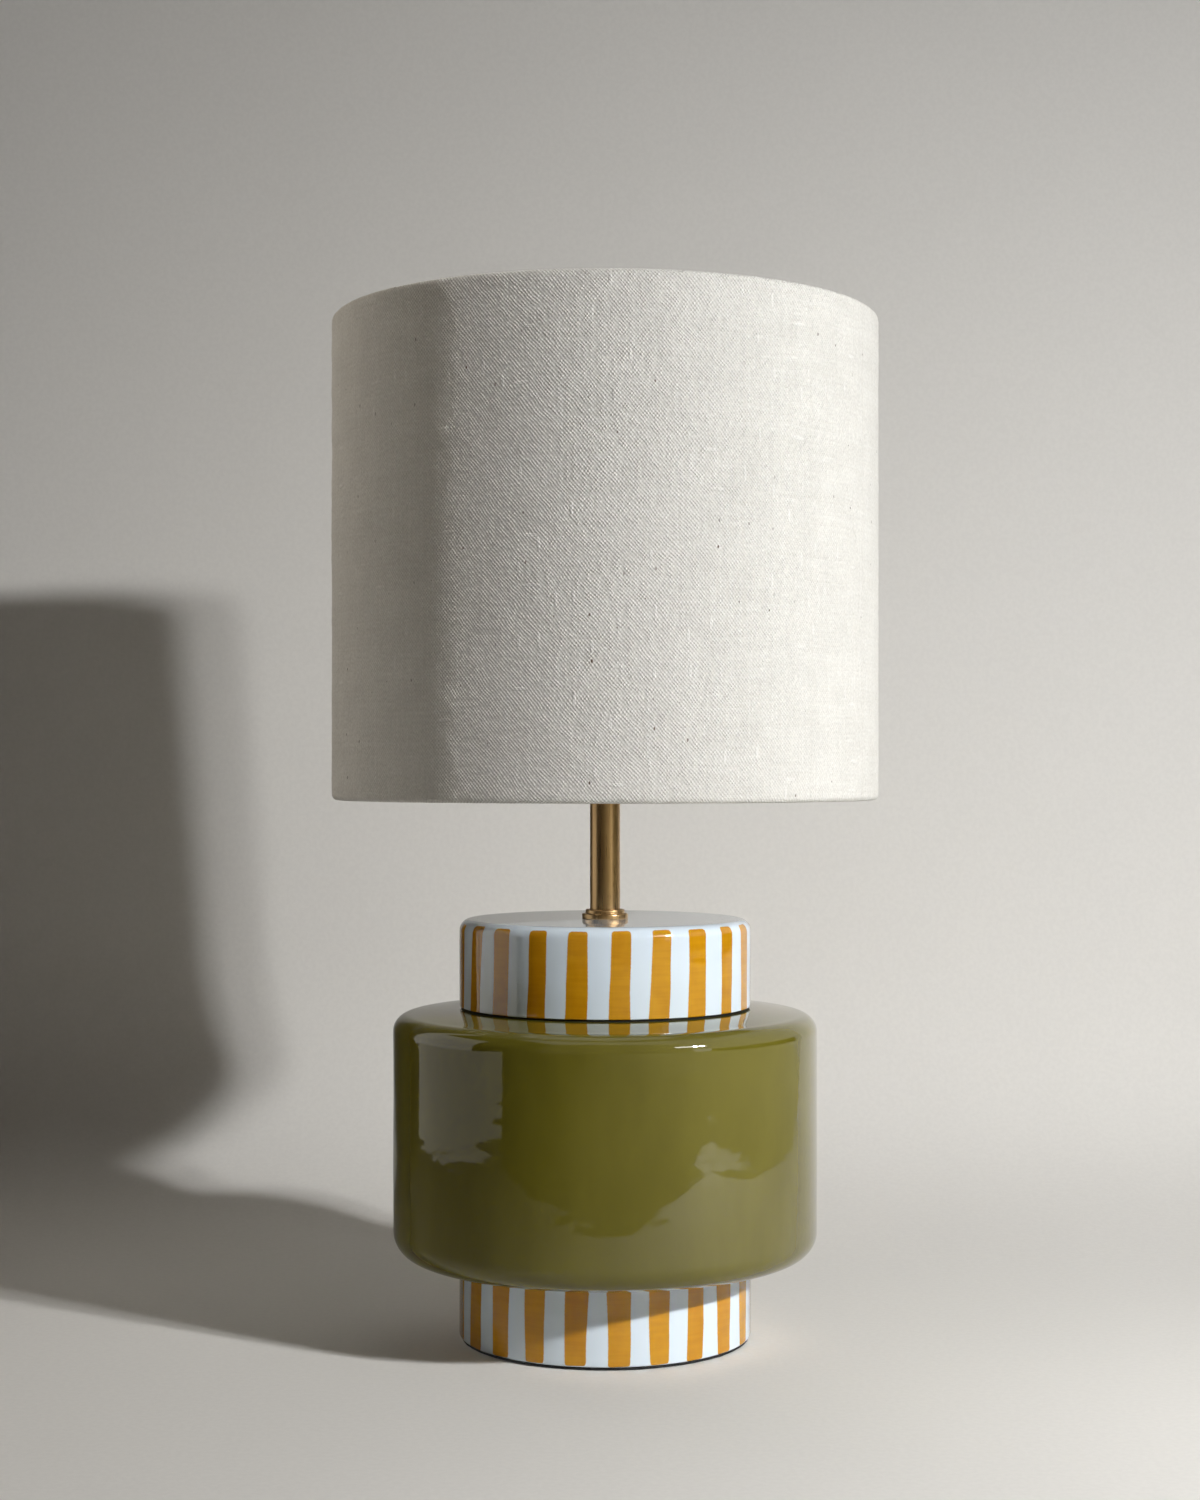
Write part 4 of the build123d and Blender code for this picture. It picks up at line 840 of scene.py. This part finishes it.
# the left card as reflections see it, and a warmer card that lights the shaded side
cards = {"x": -0.76, "low": 0.42, "high": 0.65, "fill": 0.78, "warm": (1.0, 0.90, 0.77), "back": 1.2,
         "backWarm": (1.0, 0.94, 0.84)}
glow, _, _ = glowFinish("cardGlow", cards["low"])
onlyReflected(sheetOf("leftCardLow", upright(cards["x"], -0.58, 0.30, 0.006, 0.10), glow))
glow, _, _ = glowFinish("cardHighGlow", cards["high"])
onlyReflected(sheetOf("leftCardHigh", upright(cards["x"], -0.28, 0.30, 0.10, 0.75), glow))
glow, _, _ = glowFinish("cardFill", cards["fill"], cards["warm"])
onlyDiffuse(sheetOf("leftCardFill", upright(cards["x"], -0.72, -0.15, 0.42, 1.08), glow))

# a second fill comes from behind; it stands close to the wall and shines away from it
glow, tree, shader = glowFinish("backFill", cards["back"], cards["backWarm"])
hideWhere(tree, fromBehind(tree), shader.outputs[0])
onlyDiffuse(sheetOf("leftBackFill", facing(0.42, -0.78, -0.44, 0.36, 0.86), glow))

# dark flags all round and a floor past the paper, lighter towards the right
room = {"left": -3.2, "right": 2.6, "front": -2.4, "back": 0.8, "floor": -0.002, "top": 3.4, "leftFlag": -1.7,
        "rightTop": 0.6, "rightBack": 1.6, "wallDark": (0.10, 0.085, 0.06), "wallPale": (0.36, 0.33, 0.25),
        "floorPale": (0.60, 0.57, 0.375)}


def roomFinish(name, left, right, atLeft, atRight):
    made, tree, shader = glowFinish(name, 1.0)
    across = addNode(tree, "SeparateXYZ", {0: objectPlace(tree)}).outputs["X"]
    tree.links.new(mixColour(tree, span(tree, across, left, right, soft=False), rgb(*atLeft), rgb(*atRight)),
                   shader.inputs["Emission Color"])
    return made


walls = roomFinish("roomGlow", -0.5, 2.2, room["wallDark"], room["wallPale"])
floor = roomFinish("floorGlow", -0.40, 1.10, (0, 0, 0), room["floorPale"])
black, _, _ = glowFinish("blackFlag", 0.0)
onlyReflected(sheetOf("frontFlag", facing(room["front"], room["left"], room["right"], room["floor"], room["top"]),
                      walls))
onlyReflected(sheetOf("leftFlag", upright(room["leftFlag"], room["front"], room["back"], room["floor"], room["top"]),
                      black))
onlyReflected(sheetOf("rightFlag", upright(room["right"], room["front"], room["rightBack"], room["floor"],
                                           room["rightTop"]), black))
onlyReflected(sheetOf("floorFlag", lying(room["floor"], room["left"], room["right"], room["front"], room["back"]),
                      floor))

keyLight = {"azimuths": (53.4, 50.2), "powers": (10.2, 6.3), "distance": 1.618, "height": 0.93, "size": 0.075,
            "spread": 126.9, "aim": (0.30, -0.20, 0.06), "colour": (0.99, 0.995, 1.0)}
rakeLight = {"place": (-0.797, 0.29, 1.278), "aim": (-0.10, 0.0, 0.43), "power": 3.3, "size": 0.25, "spread": 180.0,
             "colour": (1.0, 0.93, 0.84), "lights": ("linenShade", "drumShell", "topDisc")}


def aside(azimuth, distance, height):
    # A place at an azimuth from the front to the right
    turn = np.radians(azimuth)
    return Vector((distance * np.sin(turn), -distance * np.cos(turn), height))


def areaLamp(name, settings, place, power):
    lamp = bpy.data.lights.new(name, "AREA")
    lamp.shape = "DISK"
    lamp.size = settings["size"]
    lamp.spread = np.radians(settings["spread"])
    lamp.energy = power
    lamp.color = settings["colour"]
    made = bpy.data.objects.new(name, lamp)
    made.location = place
    made.rotation_euler = (Vector(settings["aim"]) - made.location).to_track_quat("-Z", "Y").to_euler()
    scene.collection.objects.link(made)
    return made


for number, (azimuth, power) in enumerate(zip(keyLight["azimuths"], keyLight["powers"])):
    areaLamp("keyLight%d" % number, keyLight, aside(azimuth, keyLight["distance"], keyLight["height"]), power)

# a small lamp behind on the left rakes over the dark side of the shade and the glaze, and leaves the paper alone
rake = areaLamp("rakeLight", rakeLight, rakeLight["place"], rakeLight["power"])
rake.visible_glossy = False
raked = bpy.data.collections.new("raked")
for name in rakeLight["lights"]:
    raked.objects.link(scene.objects[name])
rake.light_linking.receiver_collection = raked

# strips of highlight: brightness, distance, azimuths of both ends and heights of both edges
strips = {"lowStrip": (1.3, 1.58, (46.0, 56.0), (0.13, 0.50)),
          "highlightStrip": (9.0, 1.66, (38.0, 56.0), (0.84, 1.04))}
for name, (strength, distance, azimuths, heights) in strips.items():
    glow, _, _ = glowFinish(name + "Glow", strength)
    ends = [aside(azimuth, distance, 0.0) for azimuth in azimuths]
    onlyReflected(sheetOf(name, [[(end.x, end.y, level) for end in ends] for level in heights], glow))

# a card below the floor shows the felt when the part is seen from beneath; the paper keeps its light from above
underLook = {"strength": 1.6, "depth": 0.35, "reach": 0.5}
glow, _, _ = glowFinish("underGlow", underLook["strength"])
glow.cycles.emission_sampling = "NONE"
reach = underLook["reach"]
under = sheetOf("underCard", lying(-underLook["depth"], -reach, reach, -reach, reach), glow)
under.visible_camera = under.visible_shadow = under.visible_transmission = False

world = bpy.data.worlds.new("studio")
world.use_nodes = True
scene.world = world
tree = world.node_tree
ray = addNode(tree, "LightPath").outputs
mirrored = calc(tree, "MAXIMUM", ray["Is Glossy Ray"], ray["Is Transmission Ray"])
seen = calc(tree, "MAXIMUM", ray["Is Camera Ray"], mirrored)
tree.links.new(mixColour(tree, seen, rgb(*stage["fill"]), rgb(*stage["seen"])),
               tree.nodes["Background"].inputs["Color"])
print("stage ready")
